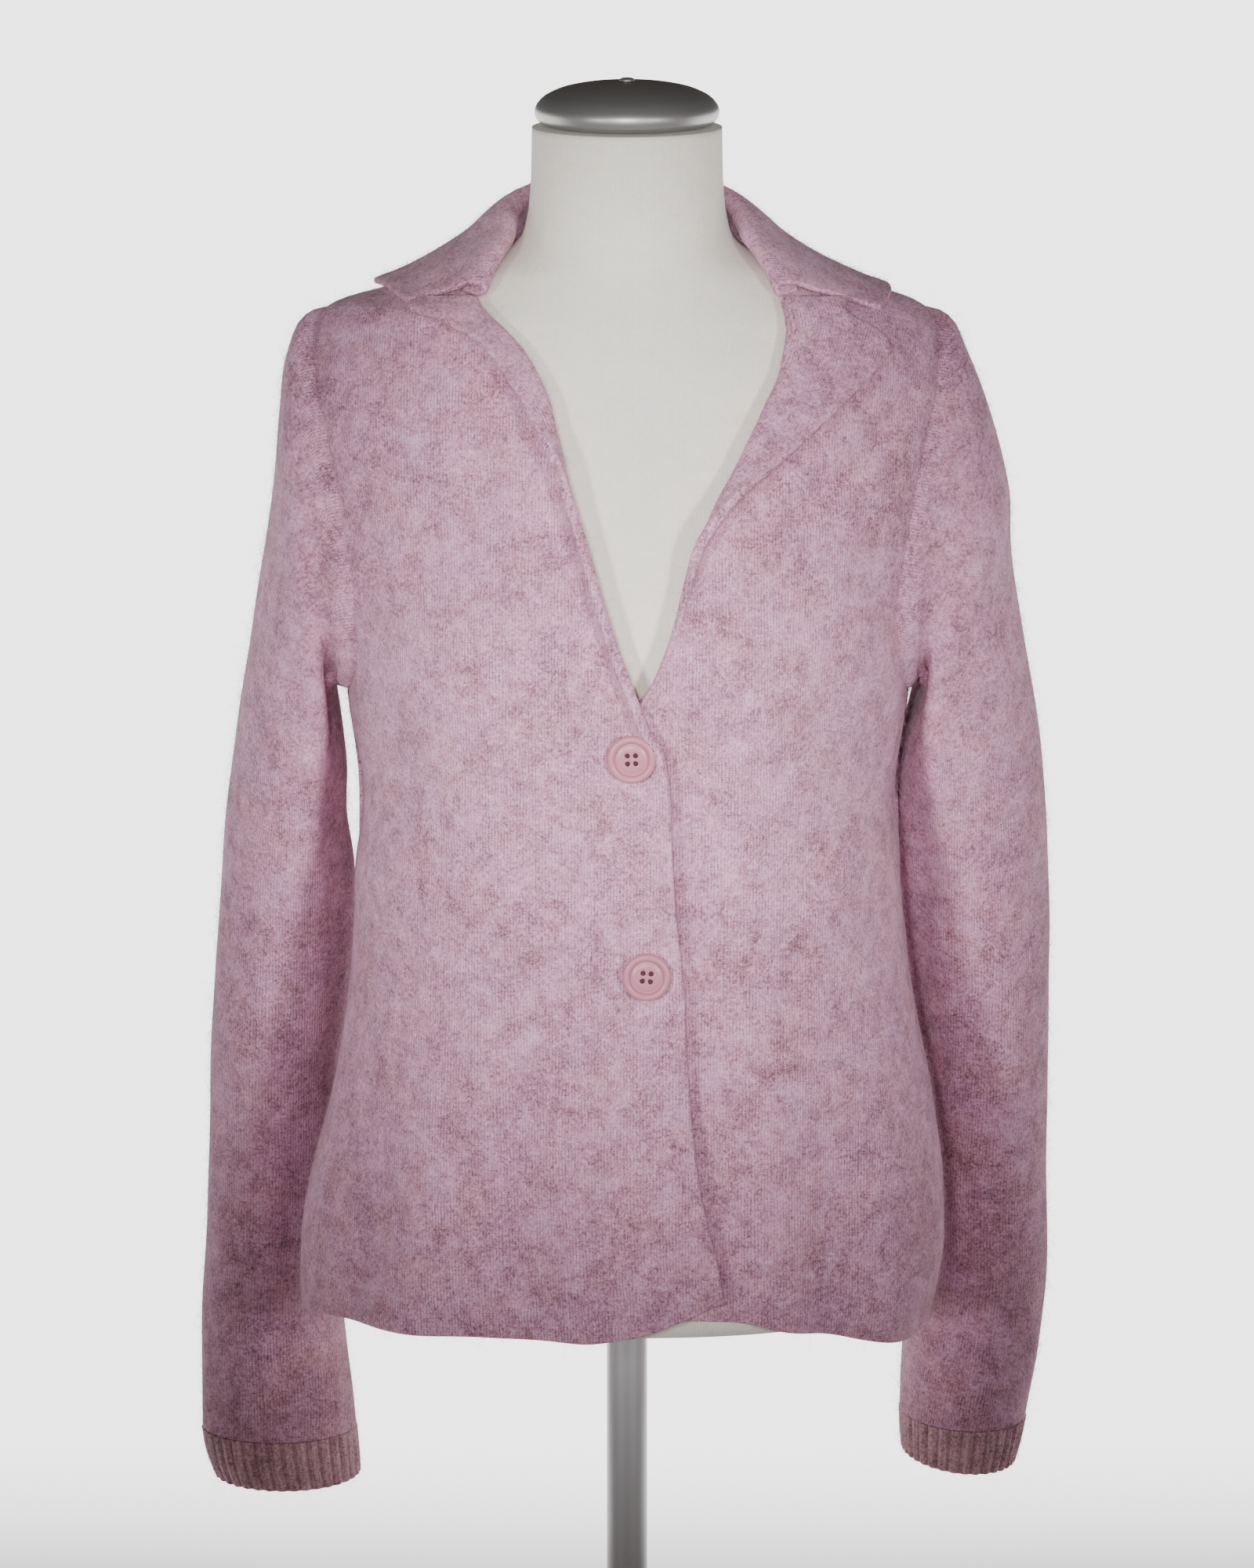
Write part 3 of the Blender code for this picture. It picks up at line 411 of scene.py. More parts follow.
def levels(points, at):
    """How far outside the garment's outer surface points are, as ratios, with sections from `at`."""
    x, y, z = points[..., 0], points[..., 1], points[..., 2]
    width = np.where(x < 0, at("right", z), at("left", z))
    depth = np.where(y < 0, np.minimum(y + bust(x, z), 0.0), y)
    reach = np.where(y < 0, at("front", z), at("back", z))
    side = (abs(x) / width) ** at("side_power", z)
    return side + (abs(depth) / reach) ** at("depth_power", z) - 1.0


def gradients(points, at):
    """Rise of the ratio per millimetre in each direction."""
    grad = np.zeros_like(points)
    for axis in range(3):
        step = np.zeros(3)
        step[axis] = PROBE
        grad[..., axis] = (levels(points + step, at) - levels(points - step, at)) / (2 * PROBE)
    return grad


def outward(point):
    """Unit direction straight off the garment's surface."""
    grad = gradients(point, section_at)
    return grad / np.linalg.norm(grad)


def body_point(angle, height, back=False):
    """A point of the outer surface: angle 0 is the wearer's right side, 180 the left one."""
    c, s = math.cos(math.radians(angle)), abs(math.sin(math.radians(angle)))
    width = section_at("right" if c > 0 else "left", height)
    across = -math.copysign(width * abs(c) ** (2.0 / section_at("side_power", height)), c)
    depth = s ** (2.0 / section_at("depth_power", height))
    if back:
        return np.array([across, section_at("back", height) * depth, height])
    front = -section_at("front", height) * depth - bust(across, height) * min(1.0, 3.0 * s)
    return np.array([across, front, height])


def angle_at(across, height):
    """The angle at which a level section has a place across."""
    width = section_at("right" if across < 0 else "left", height)
    ratio = min(abs(across) / width, 1.0) ** (0.5 * section_at("side_power", height))
    return math.degrees(math.acos(math.copysign(ratio, -across)))


def surface_height(across, depth):
    """Height of the shoulders at a place seen from above."""
    low, high = 560.0, 860.0
    for _ in range(40):
        middle = 0.5 * (low + high)
        if levels(np.array([across, depth, middle]), section_at) < 0:
            low = middle
        else:
            high = middle
    return 0.5 * (low + high)


def lifted(angle, height, lift, back=False):
    """A body point moved straight off the surface."""
    point = body_point(angle, height, back)
    return point + outward(point) * lift


def even_angles(start, end, height, count, back=False):
    """Angles that cut a level row into pieces of even length."""
    fine = np.linspace(start, end, 61)
    lengths = distances(np.array([body_point(a, height, back) for a in fine]))
    return np.interp(np.linspace(0, lengths[-1], count + 1), lengths, fine)


def distances(points):
    """Distance along a row of points from its first one."""
    return np.concatenate([[0.0], np.cumsum(np.linalg.norm(np.diff(points, axis=0), axis=1))])


def step_angle(angle, height, distance, back=False):
    """Angle moved along a level row by a distance in millimetres."""
    probe = 0.5 if angle < 90 else -0.5
    length = np.linalg.norm(body_point(angle + probe, height, back) - body_point(angle, height, back))
    return angle + distance * abs(probe) / max(length, 1e-6)


def hem_fade(height):
    """How much the hem's curve still moves a row."""
    return max(0.0, 1.0 - (height - HEM_NOMINAL) / (HEM_FADE - HEM_NOMINAL))


def front_net(side, edge_table, hem_table, under):
    """The middle of one front with its lapel turned back, from the side seam to the opening."""
    seen, turn, leaf_width, band_seam = (smooth_curve(edge_table, column) for column in range(1, 5))
    over_edge, hem, armhole = (smooth_curve(table, 1) for table in (FRONT_RIGHT, hem_table, ARMHOLE))
    last = PANEL_COLUMNS + BAND_COLUMNS
    net = np.zeros((len(FRONT_ROWS), last + TURN_STEPS + LEAF_STEPS + 1, 3))

    def sink(across, height):
        """How deep the left front runs under the right one."""
        if not under:
            return 0.0
        limit = over_edge(height)
        near = 1.0 - ease(across, limit + UNDER_FROM, limit + UNDER_TO)
        return -UNDERLAP * near * (1.0 - ease(height, *UNDER_TOP))

    for i, nominal in enumerate(FRONT_ROWS):
        above = nominal > GORGE_ROW
        fade = hem_fade(nominal)
        at_edge = nominal + (hem(seen(nominal)) - HEM_NOMINAL) * fade
        bend = math.radians(turn(at_edge))
        leaf = leaf_width(at_edge)
        radius = TURN_LENGTH / max(bend, LEAST_BEND)
        reach = radius * math.sin(min(max(bend, LEAST_BEND), math.pi / 2)) + leaf * max(math.cos(bend), 0.0)
        if bend > 0.7:
            reach += 0.5 * CLOTH * ease(bend, 0.7, 1.5)
        start_x = seen(at_edge) + (0.0 if above else side * reach)
        if above:
            seam_x = start_x + side * 0.5 * (-body_point(0, nominal)[0] - abs(start_x))
        else:
            seam_x = side * max(side * band_seam(at_edge), side * start_x + BAND_LEAST)
        start = armhole(nominal)
        ends = (start if side < 0 else 180 - start, angle_at(seam_x, nominal), angle_at(start_x, at_edge))
        angles = [*even_angles(ends[0], ends[1], nominal, PANEL_COLUMNS)]
        angles += [*np.linspace(ends[1], ends[2], BAND_COLUMNS + 1)[1:]]
        angles[0] = step_angle(angles[0], nominal, -side * HALF_SEAM)
        for j, angle in enumerate(angles):
            across = body_point(angle, nominal)[0]
            height = nominal + (hem(across) - HEM_NOMINAL) * fade
            net[i, j] = lifted(angle, height, sink(across, height) - 0.5 * CLOTH)
        base, up = net[i, last], outward(net[i, last])
        if above:
            net[i, last:] = base
            continue
        ahead = base - net[i, last - 1]
        ahead = ahead - up * np.dot(ahead, up)
        ahead = ahead / np.linalg.norm(ahead)
        for k in range(1, TURN_STEPS + 1):
            angle = bend * k / TURN_STEPS
            if bend < 0.03:
                net[i, last + k] = base + ahead * TURN_LENGTH * k / TURN_STEPS
            else:
                rise = up * radius * (1 - math.cos(angle))
                net[i, last + k] = base + ahead * radius * math.sin(angle) + rise
        away = ahead * math.cos(bend) + up * math.sin(bend)
        follow = ease(bend, *FOLLOW_TURNS)
        for k in range(1, LEAF_STEPS + 1):
            run = leaf * k / LEAF_STEPS
            down = step_angle(angle_at(start_x, at_edge), at_edge, side * run)
            drop = GORGE_DROP * ease(at_edge, *GORGE_DROP_ROWS) * k / LEAF_STEPS
            lay = lifted(down, at_edge - drop, sink(start_x, at_edge) - 0.5 * CLOTH + 2 * radius + 1.0 * k)
            straight = net[i, last + TURN_STEPS] + away * run
            net[i, last + TURN_STEPS + k] = straight * (1 - follow) + lay * follow
    # The rows between the armhole's own ones keep to the straight line between those
    for i, height in enumerate(FRONT_ROWS):
        if ARM_ROWS[0] < height < ARM_ROWS[-1] and height not in ARM_ROWS:
            lower = max(k for k in range(i) if FRONT_ROWS[k] in ARM_ROWS)
            upper = min(k for k in range(i, len(FRONT_ROWS)) if FRONT_ROWS[k] in ARM_ROWS)
            share = (height - FRONT_ROWS[lower]) / (FRONT_ROWS[upper] - FRONT_ROWS[lower])
            net[i, 0] = net[lower, 0] * (1 - share) + net[upper, 0] * share
    return net


def back_net():
    """The back, from side seam to side seam and up to the neck."""
    hem, armhole = smooth_curve(HEM_BACK, 1), smooth_curve(ARMHOLE, 2)
    net = np.zeros((len(BACK_ROWS), BACK_COLUMNS + 1, 3))
    for i, nominal in enumerate(BACK_ROWS):
        start = armhole(nominal)
        angles = even_angles(start, 180 - start, nominal, BACK_COLUMNS, back=True)
        angles[0] = step_angle(angles[0], nominal, HALF_SEAM, back=True)
        angles[-1] = step_angle(angles[-1], nominal, -HALF_SEAM, back=True)
        for j, angle in enumerate(angles):
            across = body_point(angle, nominal, True)[0]
            height = nominal + (hem(across) - HEM_NOMINAL) * hem_fade(nominal)
            net[i, j] = lifted(angle, height, -0.5 * CLOTH, back=True)
    return net


def ring_point(row, turn, side):
    """A point of a sleeve section: turn 0 is its inner side, 180 its outer side, from the front."""
    out_x, out_z, in_x, in_z, mid_y, half_y = row[:6]
    out, into = np.array([side * out_x, 0, out_z]), np.array([side * in_x, 0, in_z])
    depth = np.array([0, 1.0, 0])
    c, s = math.cos(math.radians(turn)), math.sin(math.radians(turn))
    return 0.5 * (out + into) + depth * mid_y - 0.5 * (out - into) * c - depth * half_y * s


def sleeve_net(side, table):
    """A set-in sleeve from the armhole to the top of its cuff."""
    armhole = smooth_curve(ARMHOLE, 1), smooth_curve(ARMHOLE, 2)
    ends = (ARM_ROWS[0], ARM_ROWS[-1])
    ring = []
    for height, behind in [(h, False) for h in ARM_ROWS] + [(h, True) for h in ARM_ROWS[-2:0:-1]]:
        angle = 0.0 if height in ends else step_angle(armhole[behind](height), height, -HALF_SEAM, behind)
        ring.append(lifted(angle if side < 0 else 180 - angle, height, -0.5 * CLOTH, behind))
    ring = np.array(ring)
    steps = len(ARM_ROWS) - 1
    ring[0] += np.array([side * 0.3, 0, 0.6])
    ring[steps] += np.array([side * 0.4, 0, -0.3])
    turns = [180.0 * k / steps for k in range(2 * steps)]
    rows = [ring]
    for row in table:
        blend = row[-1]
        shape = np.array([ring_point(row, turn, side) for turn in turns])
        if blend < 1:
            shift = np.array([side * 9.0, 0, 0]) * (0.6 + blend)
            shape = shape * blend + (ring + shift) * (1 - blend)
        rows.append(shape)
    return np.array(rows)


def collar_path(row, side):
    """One section of the collar: up the stand, round the roll and down the fall."""
    base_x, base_y, crest_x, crest_y, crest_z, edge_x, edge_y, edge_lift, roll = row
    foot_lift = COLLAR_BASE_LIFT - 0.6 + 2 * roll
    base = np.array([side * base_x, base_y, surface_height(side * base_x, base_y) + COLLAR_BASE_LIFT])
    low = surface_height(side * crest_x, crest_y) + foot_lift
    crest = np.array([side * crest_x, crest_y, max(crest_z, low)])
    edge = np.array([side * edge_x, edge_y, surface_height(side * edge_x, edge_y) + edge_lift])
    out = edge - crest
    out[2] = 0
    out = out / np.linalg.norm(out)
    centre = crest - np.array([0, 0, roll])

    def flat(point):
        return np.array([np.dot(point - centre, out), point[2] - centre[2]])

    start, end = flat(base), flat(edge)
    arrive = math.atan2(-start[1], -start[0]) + math.asin(roll / np.linalg.norm(start))
    leave = math.atan2(end[1], end[0]) - math.asin(roll / np.linalg.norm(end))
    turns = np.linspace(arrive if arrive > 0 else arrive + 2 * math.pi, leave, ROLL_STEPS + 1)
    arc = [centre + roll * (-math.sin(t) * out + np.array([0, 0, math.cos(t)])) for t in turns]
    path = [base, 0.5 * (base + arc[0])] + arc
    for step in range(1, FALL_STEPS + 1):
        t = step / FALL_STEPS
        point = arc[-1] * (1 - t) + edge * t
        point[2] -= 2.0 * math.sin(math.pi * t)
        point[2] = max(point[2], surface_height(point[0], point[1]) + foot_lift * (1 - t) + edge_lift * t)
        path.append(point)
    return path


def collar_net():
    """The collar: a low stand round the neck, rolled over and falling on the shoulders."""
    sections = [(row, -1) for row in reversed(COLLAR_RIGHT)] + [(row, 1) for row in COLLAR_LEFT[1:]]
    return np.array([collar_path(row, side) for row, side in sections])


def form_lift(angle, height):
    """How far the form's skin lies inside the garment's outer surface."""
    slack = max(abs(math.sin(math.radians(angle))) ** 2, 1.0 - ease(height, 500, 600))
    return -(CLOTH + FORM_GAP) - 5.2 * slack * (1.0 - ease(height, 700, 762))


# Fine cloth from the coarse nets

def soft_spread(net, positions, places):
    """Smooth values of a net at places along its first axis, with rounded bends."""
    steps = np.diff(positions)
    shape = (-1,) + (1,) * (net.ndim - 1)
    slopes = np.diff(net, axis=0) / steps.reshape(shape)
    tangents = np.zeros_like(net)
    left, right = steps[:-1].reshape(shape), steps[1:].reshape(shape)
    tangents[1:-1] = (slopes[:-1] * right + slopes[1:] * left) / (left + right)
    tangents[0], tangents[-1] = slopes[0], slopes[-1]
    index = np.clip(np.searchsorted(positions, places, side="right") - 1, 0, len(steps) - 1)
    step = steps[index].reshape(shape)
    t = ((places - positions[index]) / steps[index]).reshape(shape)
    start = (2 * t**3 - 3 * t**2 + 1) * net[index] + (t**3 - 2 * t**2 + t) * step * tangents[index]
    return start + (3 * t**2 - 2 * t**3) * net[index + 1] + (t**3 - t**2) * step * tangents[index + 1]


def chord_positions(net):
    """Mean distance along the first axis of a net."""
    lengths = np.linalg.norm(np.diff(net, axis=0), axis=2).mean(axis=1)
    return np.concatenate([[0.0], np.cumsum(np.maximum(lengths, 1e-3))])


def fine_places(positions, step):
    """Evenly spaced places with a closer pair at each end."""
    even = np.linspace(positions[0], positions[-1], max(2, int(round(positions[-1] / step))) + 1)
    first, last = even[0] + np.array([0, 0.5, 1.3]), even[-1] - np.array([1.3, 0.5, 0])
    return np.unique(np.concatenate([first, even[2:-2], last]))


def net_normals(net, closed=False):
    """Unit directions off a fine net, whose last column is its first one again if it is closed."""
    along = np.gradient(net, axis=1)
    if closed:
        along[:, 0] = along[:, -1] = net[:, 1] - net[:, -2]
    normal = np.cross(along, np.gradient(net, axis=0))
    return normal / np.maximum(np.linalg.norm(normal, axis=2, keepdims=True), 1e-9)


SECTION_HEIGHTS = np.arange(BODY[0][0], BODY[-1][0] + 0.25, 0.5)
SECTION_TABLE = {name: np.array([curve(h) for h in SECTION_HEIGHTS]) for name, curve in SECTION.items()}


def sections_at(name, heights):
    """One measure of the body's section at many heights."""
    return np.interp(heights, SECTION_HEIGHTS, SECTION_TABLE[name])


def off_surface(points):
    """Distance of many points off the garment's outer surface."""
    slope = np.maximum(np.linalg.norm(gradients(points, sections_at), axis=-1), 1e-4)
    return levels(points, sections_at) / slope


def settled(points, wanted):
    """Points moved to their wanted distance off the body's smooth surface."""
    for _ in range(2):
        grad = gradients(points, sections_at)
        slope = np.maximum(np.linalg.norm(grad, axis=-1, keepdims=True), 1e-4)
        excess = np.clip(levels(points, sections_at)[..., None] / slope - wanted[..., None], -1.5, 1.5)
        points = points - grad / slope * excess
    return points


def roll(places, rise, from_start, from_end):
    """How much thicker the cloth is towards a free edge, where it rolls."""
    extra = np.zeros(len(places))
    if from_start:
        extra += rise * np.exp(-(((places - places[0] - 0.3 * EDGE_REACH) / EDGE_REACH) ** 2))
    if from_end:
        extra += rise * np.exp(-(((places[-1] - places - 0.3 * EDGE_REACH) / EDGE_REACH) ** 2))
    return extra


def round_edge(rows_at, columns_at, seams=(False, False)):
    """Half thickness of the cloth, rounded off at its free edges."""
    full = 0.5 * CLOTH

    def ends(places):
        near = np.minimum(places - places[0], places[-1] - places)
        inside = np.clip(1 - near / full, 0, 1)
        return np.sqrt(np.clip(1 - 0.92 * inside**2, 0, 1))

    down = ends(rows_at)[:, None]
    if columns_at is None:
        return full * down
    across = ends(columns_at)
    middle = len(across) // 2
    if seams[0]:
        across[:middle] = 1.0
    if seams[1]:
        across[middle:] = 1.0
    return full * np.minimum(down, across[None, :])


def array_mesh(name, verts, loops, starts):
    """A mesh from arrays: places in metres, corners, and where each face starts among those."""
    mesh = bpy.data.meshes.new(name)
    mesh.vertices.add(len(verts))
    mesh.vertices.foreach_set("co", verts.ravel())
    mesh.loops.add(loops.size)
    mesh.loops.foreach_set("vertex_index", loops.ravel().astype(np.int32))
    mesh.polygons.add(len(starts))
    mesh.polygons.foreach_set("loop_start", starts.astype(np.int32))
    mesh.update(calc_edges=True)
    return mesh


def add_object(name, mesh, material):
    """A mesh placed in the scene with its material."""
    obj = bpy.data.objects.new(name, mesh)
    bpy.context.scene.collection.objects.link(obj)
    mesh.materials.append(material)
    return obj


def bmesh_object(name, bm, material):
    """A finished bmesh placed in the scene, its faces turned outward."""
    bmesh.ops.recalc_face_normals(bm, faces=bm.faces)
    mesh = bpy.data.meshes.new(name)
    bm.to_mesh(mesh)
    bm.free()
    return add_object(name, mesh, material)


def shell(name, blocks, material):
    """A thin closed shell from blocks of (middle, normals, half thickness, uv, rims) that share rows."""
    verts, faces, coords = [], [], []
    start = 0
    for middle, normals, half, uv, rims in blocks:
        rows, columns = middle.shape[:2]
        size = rows * columns
        off = normals * half[:, :, None]
        verts += [(middle + off).reshape(-1, 3), (middle - off).reshape(-1, 3)]
        i, j = np.meshgrid(np.arange(rows - 1), np.arange(columns - 1), indexing="ij")
        a = i.ravel() * columns + j.ravel() + start
        top = np.stack([a, a + 1, a + columns + 1, a + columns], 1)
        faces += [top, top[:, ::-1] + size]
        coords += [uv.reshape(-1, 2)] * 2
        down, across = np.arange(rows - 1) * columns + start, np.arange(columns - 1) + start
        lines = {
            "start": (down, columns), "end": (down + columns - 1, columns),
            "low": (across, 1), "high": (across + (rows - 1) * columns, 1),
        }
        for rim, first in rims.items():
            line, step = lines[rim]
            line = line[first:]
            quad = np.stack([line, line + step, line + step + size, line + size], 1)
            faces.append(quad[:, ::-1] if rim in ("end", "low") else quad)
        start += 2 * size
    verts, faces, coords = np.concatenate(verts) * MM, np.concatenate(faces), np.concatenate(coords)
    mesh = array_mesh(name, verts, faces, np.arange(0, faces.size, 4))
    mesh.uv_layers.new(name="cloth").data.foreach_set("uv", coords[faces.ravel()].ravel())
    obj = add_object(name, mesh, material)
    bm = bmesh.new()
    bm.from_mesh(mesh)
    bmesh.ops.remove_doubles(bm, verts=bm.verts, dist=0.00002)
    bmesh.ops.recalc_face_normals(bm, faces=bm.faces)
    bm.to_mesh(mesh)
    bm.free()
    mesh.polygons.foreach_set("use_smooth", np.ones(len(mesh.polygons), dtype=bool))
    return obj


# Folds: soft troughs and ridges that run from one point to another of the garment, in millimetres, on
# both fronts, on the left front, on the right front or on the back: x1, z1, x2, z2, width, depth, panel
FOLDS = (
    (-42, 675, -8, 553, 6.5, -1.8, "right"),
    (50, 626, 142, 704, 8, -3.2, "left"),
    (-66, 410, -50, 214, 21, -5.2, "fronts"),
    (-30, 340, -24, 214, 17, 3.2, "fronts"),
    (-98, 340, -122, 205, 18, 4.2, "fronts"),
    (-134, 340, -146, 205, 13, -3.6, "fronts"),
    (-118, 640, -150, 560, 15, -3.6, "fronts"),
    (-95, 555, -140, 470, 24, -2.8, "fronts"),
    (-150, 470, -100, 430, 18, 2.0, "fronts"),
    (-58, 720, -88, 620, 22, -2.0, "fronts"),
    (-60, 520, -8, 505, 14, 1.6, "fronts"),
    (66, 340, 74, 214, 22, 3.0, "fronts"),
    (98, 390, 114, 208, 20, -4.4, "fronts"),
    (138, 340, 144, 200, 15, 3.2, "fronts"),
    (120, 660, 156, 560, 16, -3.8, "fronts"),
    (92, 560, 140, 480, 24, -2.8, "fronts"),
    (145, 480, 96, 440, 18, 2.2, "fronts"),
    (36, 512, 120, 500, 15, 1.6, "fronts"),
    (60, 640, 100, 560, 20, -1.8, "fronts"),
    (-110, 460, -30, 430, 15, 1.4, "fronts"),
    (33, 536, 43, 330, 8, -2.3, "left"),
    (43, 345, 62, 245, 9, -2.6, "left"),
    (-16, 505, -12, 240, 5, -0.7, "right"),
    (-70, 420, -64, 214, 24, -4.2, "back"),
    (-20, 380, -10, 214, 20, 3.2, "back"),
    (48, 400, 62, 214, 24, -4.0, "back"),
    (105, 380, 124, 208, 20, 3.4, "back"),
    (-118, 360, -134, 208, 18, 3.0, "back"),
    (-120, 650, -150, 565, 16, -3.6, "back"),
    (120, 655, 152, 565, 16, -3.8, "back"),
    (-100, 540, -20, 500, 18, -2.2, "back"),
    (110, 520, 30, 482, 18, -2.2, "back"),
)


def fold_depth(points, panels):
    """How far the folds move each point of a panel outward."""
    x, z = points[..., 0], points[..., 2]
    moved = np.zeros_like(x)
    for x1, z1, x2, z2, width, depth, panel in FOLDS:
        if panel not in panels:
            continue
        run = np.array([x2 - x1, z2 - z1], float)
        length = np.linalg.norm(run)
        run /= length
        along = ((x - x1) * run[0] + (z - z1) * run[1]) / length
        off = (x - x1) * run[1] - (z - z1) * run[0]
        bend = 5.0 * np.sin(3.0 * along + x1)
        taper = np.clip(along * 1.6 + 0.15, 0, 1) * np.clip((1.35 - along) * 2.2, 0, 1)
        moved += depth * taper * taper * (3 - 2 * taper) * np.exp(-(((off - bend) / width) ** 2))
    return moved


def ripple(points, amount, seed):
    """Low uneven swell of soft cloth."""
    rng = np.random.default_rng(seed)
    total = np.zeros(points.shape[:-1])
    for _ in range(9):
        direction = rng.normal(size=3)
        direction[2] *= 0.6
        direction /= np.linalg.norm(direction)
        length = rng.uniform(28, 90)
        total += np.sin(points @ direction * 2 * np.pi / length + rng.uniform(0, 6.28)) * length / 90
    return amount * total / 3.0


# Materials

def linear(red, green, blue):
    """A screen colour of 0 to 255 as scene light."""
    def one(value):
        value /= 255.0
        return value / 12.92 if value <= 0.04045 else ((value + 0.055) / 1.055) ** 2.4
    return (one(red), one(green), one(blue), 1.0)


class Paint:
    """A material's nodes and short ways to add to them."""

    def __init__(self, name):
        self.material = bpy.data.materials.new(name)
        self.material.use_nodes = True
        self.nodes, self.links = self.material.node_tree.nodes, self.material.node_tree.links
        self.shader = self.nodes["Principled BSDF"]

    def fill(self, node, values):
        """Link what comes from a node into the named inputs, and set the rest on the socket."""
        for key, value in values.items():
            if hasattr(value, "is_output"):
                self.links.new(value, node.inputs[key])
            else:
                node.inputs[key].default_value = value
        return node

    def add(self, kind, **values):
        return self.fill(self.nodes.new("ShaderNode" + kind), values)

    def do(self, operation, *values):
        node = self.nodes.new("ShaderNodeMath")
        node.operation = operation
        return self.fill(node, dict(enumerate(values))).outputs[0]

    def limit(self, value, low, gain, least):
        """A noise stretched from a low point and held between a least value and one."""
        stretched = self.do("MULTIPLY", self.do("SUBTRACT", value, low), gain)
        return self.do("MAXIMUM", self.do("MINIMUM", stretched, 1.0), least)

    def noise(self, vector, scale, detail=3.0, rough=0.6):
        return self.add("TexNoise", Vector=vector, Scale=scale, Detail=detail, Roughness=rough).outputs["Fac"]

    def mix(self, factor, one, two, blend="MIX"):
        node = self.nodes.new("ShaderNodeMix")
        node.data_type, node.blend_type = "RGBA", blend
        return self.fill(node, {"Factor": factor, "A": one, "B": two}).outputs["Result"]

    def ramp(self, factor, stops):
        node = self.add("ValToRGB", Fac=factor)
        elements = node.color_ramp.elements
        while len(elements) < len(stops):
            elements.new(0.5)
        for element, (place, colour) in zip(elements, stops):
            element.position = place
            element.color = colour
        return node.outputs["Color"]

    def relief(self, height, strength, distance):
        bump = self.add("Bump", Strength=strength, Distance=distance, Height=height)
        self.links.new(bump.outputs["Normal"], self.shader.inputs["Normal"])


def knit_material(name, pale, mid, deep, wale=WALE, groove=0.9, bump=0.5, grain=1.0, rib=None):
    """Brushed knit: heathered colour, small dark stitches in fine wales, painted shade in the grooves between
    ribs when a rib is given, and a soft sheen.
    """
    paint = Paint(name)
    do, noise = paint.do, paint.noise
    cloth = paint.add("UVMap")
    cloth.uv_map = "cloth"
    flat = cloth.outputs["UV"]
    solid = paint.add("TexCoord").outputs["Object"]
    tall = paint.add("Mapping", Scale=(1.0, 0.45, 1.0), Vector=flat).outputs["Vector"]

    # Heather: uneven cloudy dye, small flecks, and single dark and pale fibres
    layers = [(solid, scale, 3.0, rough, share) for scale, rough, share in HEATHER] + [(tall, *FIBRE)]
    total = -HEATHER_MIDDLE
    for vector, scale, detail, rough, share in layers:
        total = do("ADD", do("MULTIPLY", noise(vector, scale, detail, rough), share), total)
    total = do("ADD", do("MULTIPLY", total, HEATHER_CONTRAST * grain), 0.5)
    colour = paint.ramp(total, ((0.0, deep), (0.5, mid), (1.0, pale)))
    shade = paint.ramp(noise(solid, 41.0), ((0.36, ROSE_TINT), (0.64, LILAC_TINT)))
    colour = paint.mix(grain, colour, shade, "MULTIPLY")

    # Stitches: a dark dot between wales at every course, faded where the nap covers them
    split = paint.add("SeparateXYZ", Vector=flat)
    wobble = do("MULTIPLY", do("SUBTRACT", noise(flat, 120.0, 2.0), 0.5), 1.1)
    across = do("ADD", do("DIVIDE", split.outputs["X"], wale), wobble)
    along = do("ADD", do("DIVIDE", split.outputs["Y"], COURSE), do("MULTIPLY", wobble, 1.7))
    valley = do("MULTIPLY", do("ADD", 1.0, do("COSINE", do("MULTIPLY", across, 2 * math.pi))), 0.5)
    dots = do("MULTIPLY", do("ADD", 1.7, do("COSINE", do("MULTIPLY", along, 2 * math.pi))), 0.37)
    stitch = do("MULTIPLY", do("POWER", valley, 2.5), dots)
    cover = paint.limit(noise(flat, 65.0, 3.0, 0.7), 0.34, 4.0, 0.18)
    broken = paint.limit(noise(flat, 700.0, 1.0, 0.5), 0.30, 4.0, 0.15)
    dark = do("MULTIPLY", do("MULTIPLY", stitch, do("MULTIPLY", cover, broken)), groove)
    # Painted shade: for a rib, the colour is darkened in the grooves between the ribs
    if rib:
        rib_hollow_shade = do("SUBTRACT", 0.35, do("COSINE", do("MULTIPLY", split.outputs["X"], 2 * math.pi / rib)))
        dark = do("MAXIMUM", dark, do("MULTIPLY", do("MAXIMUM", rib_hollow_shade, 0.0), 0.32))
    paint.fill(paint.shader, {
        "Base Color": paint.mix(dark, colour, tuple(0.5 * c for c in deep[:3]) + (1.0,)),
        "Roughness": 0.95, "Specular IOR Level": 0.10, "Sheen Weight": 0.25, "Sheen Roughness": 0.5,
        "Sheen Tint": (0.92, 0.88, 0.88, 1.0),
    })
    paint.relief(do("SUBTRACT", do("MULTIPLY", total, 0.9), do("MULTIPLY", stitch, 0.8)), bump, 0.0007)
    return paint.material


def plain_material(name, colour, rough, metal, bump, scale=300.0):
    """One colour with a faint grain."""
    paint = Paint(name)
    paint.fill(paint.shader, {"Base Color": colour, "Roughness": rough, "Metallic": metal})
    paint.relief(paint.noise(paint.add("TexCoord").outputs["Object"], scale), bump, 0.0004)
    return paint.material


def fuzz_material(name, colour):
    """Pale loose fibres: light passes through them."""
    paint = Paint(name)
    paint.fill(paint.shader, {"Base Color": colour, "Roughness": 0.8, "Specular IOR Level": 0.1})
    glow = paint.add("BsdfTranslucent", Color=colour)
    mix = paint.nodes.new("ShaderNodeMixShader")
    paint.fill(mix, {0: 0.45, 1: paint.shader.outputs[0], 2: glow.outputs[0]})
    paint.fill(paint.nodes["Material Output"], {"Surface": mix.outputs[0]})
    return paint.material


